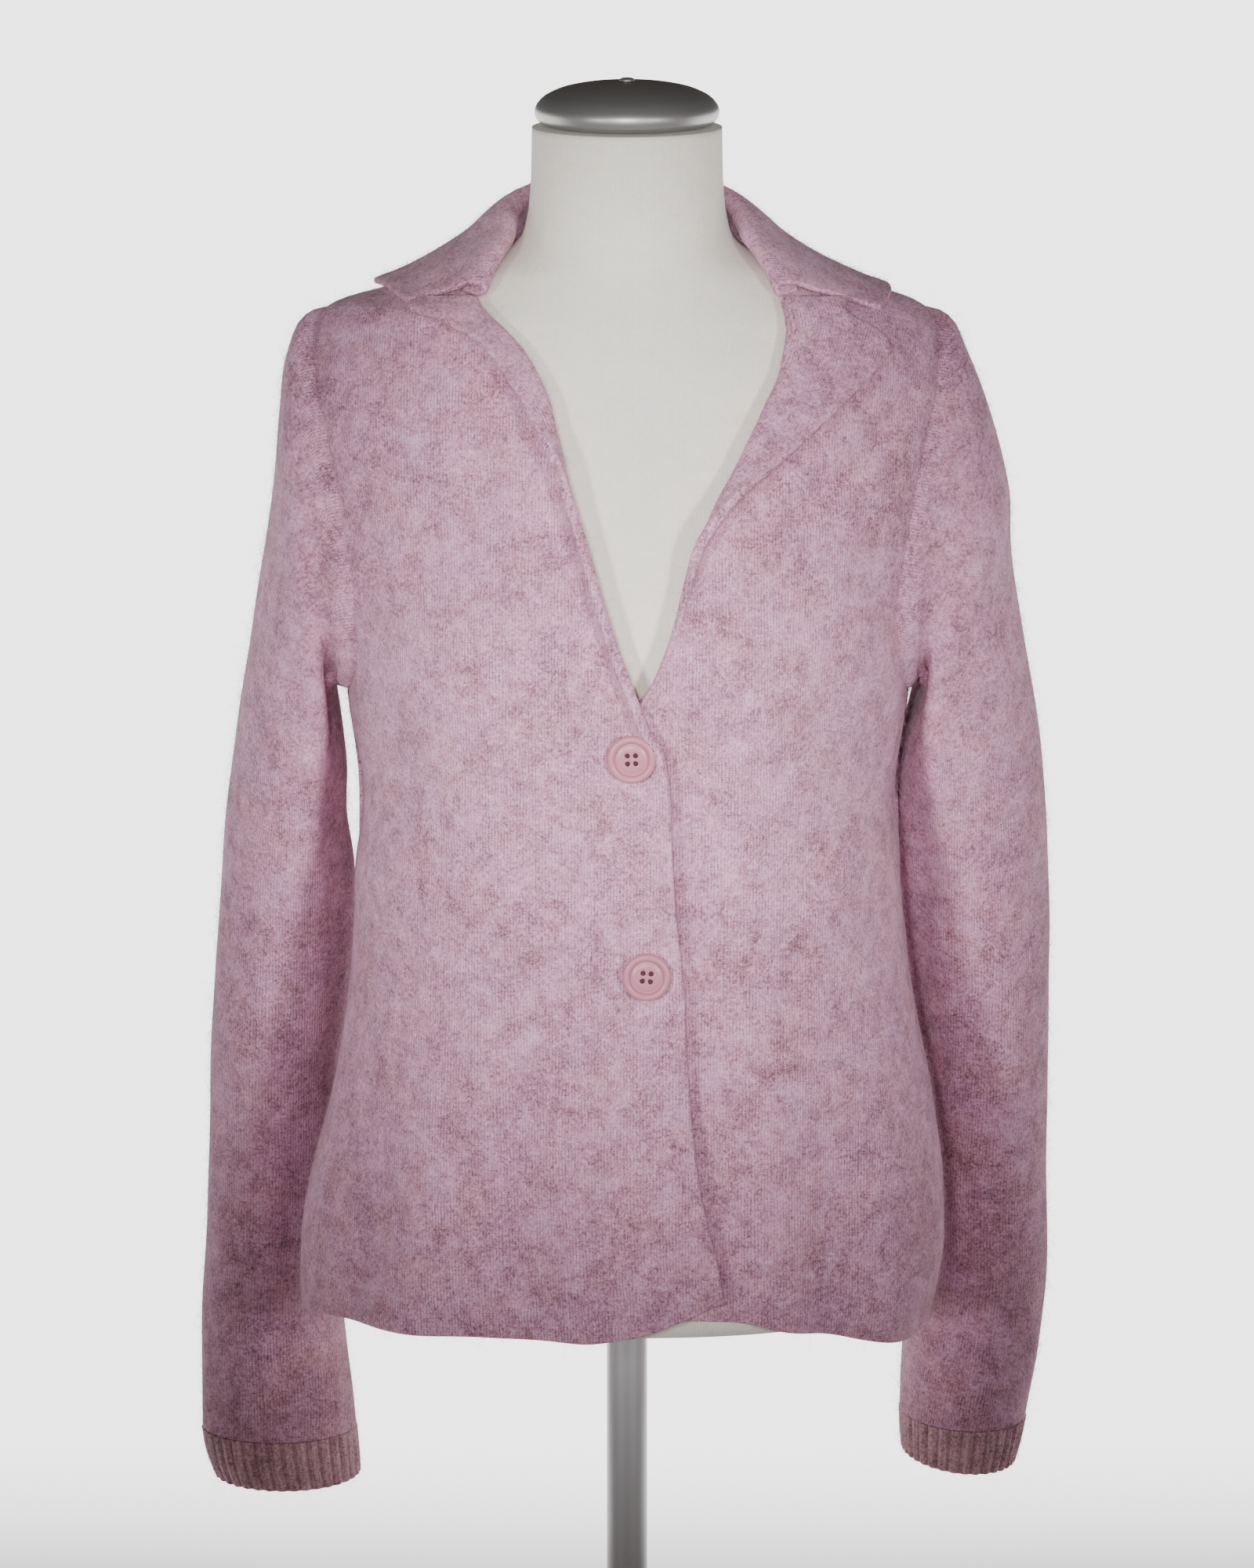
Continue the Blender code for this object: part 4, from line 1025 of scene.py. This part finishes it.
KNIT = knit_material("mauve_knit", linear(245, 195, 224), linear(212, 156, 182), linear(134, 97, 107))
# The cuffs' rib knit, with painted shade in the grooves between its ribs
RIBBED = knit_material("mauve_rib", linear(245, 203, 215), linear(216, 169, 180), linear(146, 108, 112),
                       rib=RIB_PITCH * MM)
JERSEY = knit_material("cream_jersey", linear(255, 251, 238), linear(252, 247, 233), linear(234, 227, 208),
                       wale=0.0015, groove=0.35, bump=0.12, grain=0.4)
FUZZ = fuzz_material("mauve_fuzz", linear(210, 178, 192))
CAP = plain_material("grey_metal", linear(172, 171, 168), 0.42, 0.75, 0.03)
BUTTON = plain_material("pink_plastic", linear(197, 130, 146), 0.36, 0.0, 0.02)
STEEL = plain_material("steel", linear(206, 206, 208), 0.45, 0.55, 0.03)
# Dark thread for the button holes: the thread's colour, darkened as painted shade for the hollows of the
# holes
THREAD_WITH_HOLE_SHADE = plain_material("dark_thread_hole_shade", linear(96, 52, 66), 0.8, 0.0, 0.2, 2500.0)


# Cloth pieces

def cloth_uv(along, starts, heights):
    """Cloth coordinates in metres: along each row from its start, and up the rows."""
    return np.stack([(along + starts[:, None]) * MM, heights[:, None] * MM * np.ones_like(along)], axis=2)


def along_rows(net):
    """Distance along each row of a net."""
    lengths = np.linalg.norm(np.diff(net, axis=1), axis=2)
    return np.concatenate([np.zeros((len(net), 1)), np.cumsum(lengths, axis=1)], axis=1)


def from_centre(net, along, column):
    """Row starts that put zero on the middle of the body, measured from a column near it."""
    sign = 1 if net[:, column, 0].mean() > net[:, 0, 0].mean() else -1
    starts = np.zeros(len(net))
    for i, (x, y, z) in enumerate(net[:, column]):
        points = np.array([body_point(a, z, y > 0) for a in np.linspace(angle_at(x, z), 90.0, 9)])
        starts[i] = sign * math.copysign(distances(points)[-1], x) - along[i, column]
    return starts


def row_heights(net, columns):
    """Distance up the rows of a net, without the shift along them."""
    steps = np.linalg.norm(np.diff(net[:, :columns, 1:], axis=0), axis=2).mean(axis=1)
    return np.concatenate([[0.0], np.cumsum(steps)])


def faced(normals, guide):
    """Normals turned to the same side as a guide direction."""
    sign = np.sign(np.sum(normals * guide, axis=2, keepdims=True))
    return normals * np.where(sign == 0, 1, sign)


def folded(fine, panels, seed, swell):
    """A fine net with its folds and swell, and its outward directions."""
    normals = net_normals(fine)
    centre = fine[:, 2:-2:4] * np.array([1, 1, 0.3])
    if np.sum(normals[:, 2:-2:4] * centre) < 0:
        normals = -normals
    moved = ripple(fine, swell, seed) + fold_depth(fine, panels)
    fine = fine + normals * moved[:, :, None]
    return fine, faced(net_normals(fine), normals)


def surface_piece(name, net, step, panels=(), seed=1, swell=0.5, split_row=None, split_column=None,
                  swap=False, seams=(True, False)):
    """A panel's shell from its coarse net: refined, folded and rounded off at its edges."""
    low = net if split_row is None else net[:split_row + 1]
    column_at = chord_positions(low.transpose(1, 0, 2))
    if not swap:
        net = np.concatenate([net, off_surface(net)[:, :, None]], axis=2)
    columns = fine_places(column_at, step)
    if split_column is not None:
        columns = np.unique(np.concatenate([columns, [column_at[split_column]]]))
    wide = soft_spread(net.transpose(1, 0, 2), column_at, columns).transpose(1, 0, 2)

    middle = len(columns) // 2
    if split_column is not None:
        middle = int(np.argmin(np.abs(columns - column_at[split_column])))

    def refined(part):
        row_at = chord_positions(part[:, :, :3])
        rows = fine_places(row_at, step)
        fine = soft_spread(part, row_at, rows)
        if swap:
            return fine, rows
        fine = settled(fine[:, :, :3], fine[:, :, 3])
        return fine, row_heights(fine, middle)

    def mapped(fine, rows):
        along = along_rows(fine)
        if swap:
            return cloth_uv(along, np.zeros(len(fine)), rows)[:, :, ::-1]
        return cloth_uv(along, from_centre(fine, along, middle), rows)

    if split_row is None:
        fine, rows = refined(wide)
        fine, normals = folded(fine, panels, seed, swell)
        half = round_edge(rows, columns, seams)
        if swap:
            extra = roll(columns, COLLAR_RISE, False, True)[None, :]
            extra = extra + roll(rows, COLLAR_RISE, True, True)[:, None]
            grown = half * (1 + extra / (0.5 * CLOTH))
            up = 1 if np.mean(normals[:, -6:, 2]) > 0 else -1
            fine = fine + normals * (grown - half)[:, :, None] * up
            half = grown
        rims = {"start": 0, "end": 0, "low": 0, "high": 0}
        return shell(name, [(fine, normals, half, mapped(fine, rows), rims)], KNIT)
    keep = int(np.argmin(np.abs(columns - column_at[split_column]))) + 1
    lower, rows = refined(wide[:split_row + 1])
    upper, more = refined(wide[split_row:, :keep])
    whole = np.concatenate([lower[:, :keep], upper[1:]])
    count = len(rows)
    lower, lower_normals = folded(lower, panels, seed, swell)
    whole, whole_normals = folded(whole, panels, seed, swell)
    lower[-1, :keep], lower_normals[-1, :keep] = whole[count - 1], whole_normals[count - 1]
    half = round_edge(rows, columns, seams)
    half[-4:, :keep - 1] = half[count // 2, :keep - 1]
    half_up = round_edge(more, columns[:keep], seams)
    half_up[:4] = half_up[len(more) // 2]
    half_up[0, -1] = half[-1, keep - 1] = 0.5 * half[-1, keep - 1]
    extra = roll(columns, EDGE_RISE, False, True)
    turned = np.clip((columns - columns[keep - 1]) / (columns[-1] - columns[keep - 1]), 0, 1)
    extra = (extra + LAPEL_SWELL * np.sin(math.pi * turned))[None, :]
    grown = half * (1 + extra / (0.5 * CLOTH))
    lower = lower + lower_normals * (grown - half)[:, :, None]
    half = grown
    blocks = [
        (lower, lower_normals, half, mapped(lower, rows), {"start": 0, "end": 0, "low": 0, "high": keep - 1}),
        (whole[count - 1:], whole_normals[count - 1:], half_up, mapped(whole[count - 1:], more + rows[-1]),
         {"start": 0, "end": 0, "high": 0}),
    ]
    return shell(name, blocks, KNIT)


right_net = front_net(-1, FRONT_RIGHT, HEM_RIGHT, False)
left_net = front_net(1, FRONT_LEFT, HEM_LEFT, True)
gorge = FRONT_ROWS.index(GORGE_ROW)
edge = PANEL_COLUMNS + BAND_COLUMNS
front_right = surface_piece("front_right_cloth", right_net, STEP, ("fronts", "right"), 3, 0.6, gorge, edge)
front_left = surface_piece("front_left_cloth", left_net, STEP, ("fronts", "left"), 5, 0.6, gorge, edge)
back = surface_piece("back_cloth", back_net(), BACK_STEP, ("back",), 7, 0.7, seams=(True, True))
collar = surface_piece("collar_cloth", collar_net(), STEP, (), 9, 0.3, swap=True, seams=(False, False))


def tube_piece(name, rings, step, seed, swell=0.6, folds=(), ribs=None, tuck=None):
    """A shell round a sleeve or cuff from its rings; a set-in sleeve is tucked under the armhole's edge."""
    loop = np.concatenate([rings, rings[:, :1]], axis=1).transpose(1, 0, 2)
    wrap = np.concatenate([loop[-4:-1], loop, loop[1:4]])
    at = chord_positions(wrap)
    low, high = at[3], at[-4]
    steps = int(round((high - low) / step)) if ribs is None else ribs * RIB_COLUMNS
    places = np.linspace(low, high, steps + 1)
    wide = soft_spread(wrap, at, places).transpose(1, 0, 2)
    row_at = chord_positions(wide)
    rows = fine_places(row_at, step)
    fine = soft_spread(wide, row_at, rows)
    normals = net_normals(fine, closed=True)
    if np.sum(normals * (fine - fine.mean(axis=1, keepdims=True))) < 0:
        normals = -normals
    inward = 0.5 * CLOTH * np.clip(rows / row_at[1], 0.0 if tuck else 1.0, 1)[:, None]
    from_end = np.minimum(rows, rows[-1] - rows)[:, None]
    fade = np.clip(from_end / TUBE_FADE, 0.0, 1)
    turn = (places - low) / (high - low)
    moved = ripple(fine, swell, seed) * fade - inward
    for place, width, row, length, depth, slant in folds:
        off = (turn[None, :] - place - slant * (rows[:, None] - row) / 100.0 + 0.5) % 1.0 - 0.5
        far = (rows[:, None] - row) / length
        moved += depth * np.exp(-((off / width) ** 2)) * np.exp(-(far ** 2)) * fade
    if ribs is not None:
        moved += RIB_DEPTH * (np.cos(2 * np.pi * turn * ribs)[None, :] - 0.2)
    moved[:, -1] = moved[:, 0]
    fine = fine + normals * moved[:, :, None]
    normals = faced(net_normals(fine, closed=True), normals)
    half = round_edge(rows, None) * np.ones((1, len(places)))
    half[:4] = 0.5 * CLOTH
    if tuck:
        inner = fine[0] - np.array([tuck * TUCK, 0, 0]) - normals[0] * 0.5 * TUCK
        fine = np.concatenate([inner[None], fine])
        normals = np.concatenate([normals[:1], normals])
        half = np.concatenate([half[:1], half])
        rows = np.concatenate([[rows[0] - TUCK], rows])
    if ribs is None:
        half[-4:] = 0.5 * CLOTH
    along = along_rows(fine)
    uv = cloth_uv(along, -0.5 * along[:, -1], rows)
    if ribs is not None:
        uv[:, :, 0] = turn * ribs * RIB_PITCH * MM
    return shell(name, [(fine, normals, half, uv, {"low": 0, "high": 0})], KNIT if ribs is None else RIBBED)


SLEEVE_FOLDS_RIGHT = (
    (0.08, 0.05, 50, 60, -8.0, 0.0), (0.16, 0.04, 120, 70, 2.5, 0.06), (0.10, 0.05, 210, 80, -3.0, -0.03),
    (0.30, 0.05, 300, 90, 2.0, 0.03), (0.18, 0.05, 420, 90, -2.5, 0.04), (0.12, 0.04, 560, 60, 2.5, -0.02),
    (0.85, 0.05, 90, 70, -4.0, 0.0), (0.72, 0.05, 260, 90, 2.5, 0.03), (0.9, 0.05, 430, 100, -3.0, 0.03),
)
SLEEVE_FOLDS_LEFT = (
    (0.08, 0.05, 50, 60, -8.0, 0.0), (0.17, 0.04, 130, 70, 2.5, 0.05), (0.11, 0.05, 230, 80, -3.0, -0.03),
    (0.33, 0.05, 330, 90, 1.8, 0.03), (0.20, 0.05, 450, 90, -2.0, 0.03), (0.08, 0.035, 590, 60, -3.5, 0.0),
    (0.86, 0.05, 100, 70, -4.0, 0.0), (0.70, 0.05, 280, 90, 2.5, 0.03), (0.88, 0.05, 440, 100, -3.0, 0.03),
)
ring_right = sleeve_net(-1, SLEEVE_RIGHT)
ring_left = sleeve_net(1, SLEEVE_LEFT)
sleeve_right = tube_piece("sleeve_right_cloth", ring_right, SLEEVE_STEP, 11,
                          folds=SLEEVE_FOLDS_RIGHT, tuck=-1)
sleeve_left = tube_piece("sleeve_left_cloth", ring_left, SLEEVE_STEP, 13,
                         folds=SLEEVE_FOLDS_LEFT, tuck=1)


def cuff_rings(table, side):
    """A cuff's net, ring by ring."""
    turns = [360.0 * k / CUFF_POINTS for k in range(CUFF_POINTS)]
    return np.array([[ring_point(row, turn, side) for turn in turns] for row in table])


cuff_right = tube_piece("cuff_right_cloth", cuff_rings(CUFF_RIGHT, -1), CUFF_STEP, 15, 0.2, ribs=CUFF_RIBS)
cuff_left = tube_piece("cuff_left_cloth", cuff_rings(CUFF_LEFT, 1), CUFF_STEP, 17, 0.2, ribs=CUFF_RIBS)


# Loose fibres

def fuzz(name, source, count, length, lean, seed):
    """Short bent fibres that stand off a piece of cloth, each a narrow two-step strip."""
    rng = np.random.default_rng(seed)
    mesh = source.data
    mesh.calc_loop_triangles()
    points = np.zeros(len(mesh.vertices) * 3)
    mesh.vertices.foreach_get("co", points)
    tris = np.zeros(len(mesh.loop_triangles) * 3, dtype=np.int32)
    mesh.loop_triangles.foreach_get("vertices", tris)
    corners = points.reshape(-1, 3)[tris.reshape(-1, 3)]
    cross = np.cross(corners[:, 1] - corners[:, 0], corners[:, 2] - corners[:, 0])
    area = np.linalg.norm(cross, axis=1)
    normal = cross / np.maximum(area[:, None], 1e-15)
    pick = rng.choice(len(area), count, p=area / area.sum())
    a, b = rng.random(count), rng.random(count)
    flip = a + b > 1
    a[flip], b[flip] = 1 - a[flip], 1 - b[flip]
    tri = corners[pick]
    root = tri[:, 0] + a[:, None] * (tri[:, 1] - tri[:, 0]) + b[:, None] * (tri[:, 2] - tri[:, 0])
    out = normal[pick]
    drift = rng.normal(size=(count, 3))
    drift -= out * np.sum(drift * out, axis=1, keepdims=True)
    drift /= np.linalg.norm(drift, axis=1, keepdims=True)
    size = length * MM * rng.gamma(3.0, 0.33, count)[:, None]
    rise = lean * rng.uniform(0.3, 1.3, count)[:, None]
    first = out * rise + drift
    first /= np.linalg.norm(first, axis=1, keepdims=True)
    curl = rng.normal(size=(count, 3)) * 0.45
    second = first + curl - out * 0.25 * rise
    second /= np.linalg.norm(second, axis=1, keepdims=True)
    one = root + first * size * 0.5
    two = one + second * size * 0.5
    sideways = np.cross(first, rng.normal(size=(count, 3)))
    sideways /= np.linalg.norm(sideways, axis=1, keepdims=True)
    half = sideways * FUZZ_WIDTH * MM * 0.5
    verts = np.stack([root - half, root + half, one + half, one - half, two], axis=1).reshape(-1, 3)
    strips = np.arange(count)[:, None]
    loops = strips * 5 + np.array([[0, 1, 2, 3, 3, 2, 4]])
    starts = (strips * 7 + np.array([[0, 4]])).ravel()
    return add_object(name, array_mesh(name, verts, loops, starts), FUZZ)


fuzz_pieces = [
    fuzz("front_right_fuzz", front_right, 37000, 6.5, 0.55, 21),
    fuzz("front_left_fuzz", front_left, 35000, 6.5, 0.55, 22),
    fuzz("back_fuzz", back, 34000, 6.5, 0.55, 23),
    fuzz("sleeve_right_fuzz", sleeve_right, 31000, 6.5, 0.6, 24),
    fuzz("sleeve_left_fuzz", sleeve_left, 31000, 6.5, 0.6, 25),
    fuzz("collar_fuzz", collar, 16000, 5.0, 0.55, 26),
    fuzz("cuff_right_fuzz", cuff_right, 4000, 4.0, 0.5, 27),
    fuzz("cuff_left_fuzz", cuff_left, 4000, 4.0, 0.5, 28),
]


# Dress form, cap, buttons and stand

def form_piece():
    """The form's jersey cover: one smooth skin a little inside the garment, closed at both ends."""
    spans = (np.arange(FORM_BOTTOM, 700, 9), np.arange(700, 792, 3), np.arange(792, FORM_TOP, 8), [FORM_TOP])
    heights = np.unique(np.concatenate(spans))
    columns = FORM_COLUMNS
    net = np.zeros((len(heights), columns + 1, 3))
    for i, height in enumerate(heights):
        for k in range(columns):
            turn = (90.0 + 360.0 * k / columns) % 360.0
            behind = turn > 180
            turn = 360.0 - turn if behind else turn
            net[i, k] = lifted(turn, height, form_lift(turn, height), behind)
        net[i, columns] = net[i, 0]
    net[0, :, 2], net[-1, :, 2] = FORM_BOTTOM, FORM_TOP
    bm = bmesh.new()
    uv = bm.loops.layers.uv.new("cloth")
    verts = [[bm.verts.new(p * MM) for p in ring[:-1]] for ring in net]
    along = along_rows(net)
    along = np.minimum(along, along[:, [-1]] - along)
    for i in range(len(heights) - 1):
        for k in range(columns):
            j = (k + 1) % columns
            face = bm.faces.new((verts[i][k], verts[i][j], verts[i + 1][j], verts[i + 1][k]))
            face.smooth = True
            for loop, (r, c) in zip(face.loops, ((i, k), (i, k + 1), (i + 1, k + 1), (i + 1, k))):
                loop[uv].uv = (along[r, c] * MM, heights[r] * MM)
    bm.faces.new(verts[0])
    bm.faces.new(verts[-1])
    return bmesh_object("form_cover", bm, JERSEY)


def lathe(name, profile, segments, material, scale_y=1.0):
    """A round piece turned from (radius, height) pairs in millimetres."""
    bm = bmesh.new()
    rings = []
    for radius, height in profile:
        turns = [2 * math.pi * k / segments for k in range(segments if radius else 1)]
        rings.append([bm.verts.new((radius * math.cos(turn) * MM, radius * math.sin(turn) * scale_y * MM,
                                    height * MM)) for turn in turns])
    for one, two in zip(rings, rings[1:]):
        for k in range(segments):
            j = (k + 1) % segments
            if len(one) == 1:
                bm.faces.new((one[0], two[j], two[k]))
            elif len(two) == 1:
                bm.faces.new((one[k], one[j], two[0]))
            else:
                bm.faces.new((one[k], one[j], two[j], two[k]))
    for face in bm.faces:
        face.smooth = True
    return bmesh_object(name, bm, material)


def rounded(profile, steps=4):
    """The same outline with its corners eased, from smooth interpolation along its length."""
    points = np.array(profile, float)
    at = distances(points)
    places = np.unique(np.concatenate([np.linspace(a, b, steps + 1) for a, b in zip(at, at[1:])]))
    fine = soft_spread(points, at, places)
    fine[:, 0] = np.maximum(fine[:, 0], 0)
    fine[0, 0], fine[-1, 0] = points[0, 0], points[-1, 0]
    return [tuple(p) for p in fine]


form_cover = form_piece()
cap = lathe("cap_of_neck", rounded(CAP_PROFILE), 96, CAP, CAP_DEPTH_SCALE)
screw = lathe("screw_of_cap", (
    (0, CAP_SCREW_TOP), (2.6, CAP_SCREW_TOP), (3.6, CAP_SCREW_TOP - 0.4), (4.0, CAP_SCREW_TOP - 1.0),
    (4.0, CAP_SCREW_FOOT), (0, CAP_SCREW_FOOT),
), 32, CAP)
pole = lathe("pole_of_stand", (
    (0, FORM_BOTTOM - 0.3), (POLE_RADIUS, FORM_BOTTOM - 0.3),
    (POLE_RADIUS, BASE_HEIGHT + 0.3), (0, BASE_HEIGHT + 0.3),
), 64, STEEL)
base = lathe("base_of_stand", BASE_PROFILE, 128, STEEL)
for turned in (cap, screw, pole, base):
    turned.modifiers.new("Crisp edges", "EDGE_SPLIT").split_angle = math.radians(40)


def cut_holes(obj, places, radius, depth):
    """Bores straight through a small piece."""
    for x, y in places:
        bpy.ops.mesh.primitive_cylinder_add(vertices=24, radius=radius * MM, depth=depth * MM)
        pin = bpy.context.active_object
        pin.matrix_world = Matrix.Translation((x * MM, y * MM, 2 * MM))
        cut = obj.modifiers.new("Hole", "BOOLEAN")
        cut.operation = "DIFFERENCE"
        cut.solver = "EXACT"
        cut.object = pin
        bpy.context.view_layer.update()
        done = bpy.data.meshes.new_from_object(obj.evaluated_get(bpy.context.evaluated_depsgraph_get()))
        obj.modifiers.clear()
        obj.data = done
        bpy.data.objects.remove(pin)


def button_piece(name, across, height, spin):
    """A four-hole button with a raised rim, sewn flat on the band; dark thread plugs in its holes also paint
    the shade inside them.
    """
    obj = lathe(name, rounded(BUTTON_PROFILE, 3), 72, BUTTON)
    reach, turn = 0.5 * BUTTON_HOLE_STEP, math.radians(spin)
    corners = [(reach * sx, reach * sy) for sx in (-1, 1) for sy in (-1, 1)]
    c, s = math.cos(turn), math.sin(turn)
    places = [(x * c - y * s, x * s + y * c) for x, y in corners]
    cut_holes(obj, places, BUTTON_HOLE_RADIUS, 12)
    seat = body_point(angle_at(across, height), height)
    normal = outward(seat)
    tilt = math.atan2(normal[2], -normal[1])
    obj.rotation_euler = (math.radians(90) - tilt, 0, math.atan2(normal[0], -normal[1]))
    obj.location = Vector((seat + normal * (BUTTON_GAP + BAND_RAISE)) * MM)
    bpy.context.view_layer.update()
    threads = []
    # Thread plugs sunk in each hole, dark so that they also stand for the shade inside the hole (painted
    # shade)
    for number, (x, y) in enumerate(places):
        bpy.ops.mesh.primitive_cylinder_add(vertices=12, radius=0.8 * BUTTON_HOLE_RADIUS * MM, depth=1.4 * MM)
        stitch = bpy.context.active_object
        stitch.name = f"{name}_thread_{number}"
        stitch.matrix_world = obj.matrix_world @ Matrix.Translation((x * MM, y * MM, 0.3 * MM))
        stitch.data.materials.append(THREAD_WITH_HOLE_SHADE)
        threads.append(stitch)
    return obj, threads


buttons = [button_piece(name + "_turned", across, height, spin) for name, across, height, spin in BUTTONS]


# What each piece stands for

for obj, node, slot in (
    (front_right, "front_right", "mauve_knit"), (front_left, "front_left", "mauve_knit"),
    (back, "back", "mauve_knit"), (collar, "collar", "mauve_knit"),
    (sleeve_right, "sleeve_right", "mauve_knit"), (sleeve_left, "sleeve_left", "mauve_knit"),
    (cuff_right, "cuff_right", "mauve_knit"), (cuff_left, "cuff_left", "mauve_knit"),
    (form_cover, "dress_form", "cream_jersey"), (cap, "neck_cap", "grey_metal"),
    (screw, "cap_screw", "grey_metal"), (pole, "stand_pole", "steel"), (base, "stand_base", "steel"),
    (buttons[0][0], "button_upper", "pink_plastic"), (buttons[1][0], "button_lower", "pink_plastic"),
):
    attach(obj, "root")
    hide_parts(node)
for obj, threads in buttons:
    for stitch in threads:
        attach(stitch, "root")
for obj in fuzz_pieces:
    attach(obj, "root")


# Floor, light and camera

def floor_material():
    """A pale plain floor that brightens towards the background."""
    paint = Paint("pale_floor")
    split = paint.add("SeparateXYZ", Vector=paint.add("TexCoord").outputs["Object"])
    far = paint.nodes.new("ShaderNodeMapRange")
    far.interpolation_type = "SMOOTHSTEP"
    paint.fill(far, {"Value": split.outputs["Y"], "From Min": FLOOR_GLOW_FROM, "From Max": FLOOR_GLOW_TO,
                     "To Min": FLOOR_GLOW_NEAR, "To Max": FLOOR_GLOW})
    paint.fill(paint.shader, {
        "Base Color": (0.9, 0.9, 0.9, 1.0), "Roughness": 0.9,
        "Emission Color": (1.0, 1.0, 1.0, 1.0), "Emission Strength": far.outputs["Result"],
    })
    return paint.material


bpy.ops.mesh.primitive_plane_add(size=80.0)
floor = bpy.context.active_object
floor.name = "floor"
floor.data.materials.append(floor_material())

world = bpy.data.worlds.new("Studio")
bpy.context.scene.world = world
world.use_nodes = True
world.node_tree.nodes["Background"].inputs["Color"].default_value = (1.0, 0.88, 0.82, 1.0)
world.node_tree.nodes["Background"].inputs["Strength"].default_value = 0.06


def spot_light(name, place, target, angle, radius, power):
    """A soft-edged spot light aimed at a point."""
    light = bpy.data.lights.new(name, "SPOT")
    light.spot_size = math.radians(angle)
    light.spot_blend = 1.0
    light.shadow_soft_size = radius
    light.energy = power
    light.color = (0.97, 0.97, 1.0)
    obj = bpy.data.objects.new(name, light)
    bpy.context.scene.collection.objects.link(obj)
    obj.location = place
    aim = Vector(target) - Vector(place)
    obj.rotation_euler = aim.to_track_quat("-Z", "Y").to_euler()


spot_light("key_right", (1.7, -2.45, 0.85), (0.0, -0.1, 0.53), 14.2, 0.22, 325)
spot_light("key_left", (-1.7, -2.45, 0.82), (0.0, -0.1, 0.525), 14.2, 0.22, 300)
spot_light("front", (-0.3, -2.7, 1.15), (0.0, -0.1, 0.53), 14.2, 0.14, 175)
spot_light("neck", (0.0, -2.8, 1.1), (0.0, -0.05, 0.80), 6.5, 0.10, 270)

camera_data = bpy.data.cameras.new("camera")
camera_data.lens = CAMERA_LENS
camera_data.sensor_width = 36.0
camera = bpy.data.objects.new("camera", camera_data)
bpy.context.scene.collection.objects.link(camera)
camera.location = (0, -CAMERA_DISTANCE * math.cos(CAMERA_TILT),
                   CAMERA_AIM + CAMERA_DISTANCE * math.sin(CAMERA_TILT))
camera.rotation_euler = (math.pi / 2 - CAMERA_TILT, 0, 0)
bpy.context.scene.camera = camera
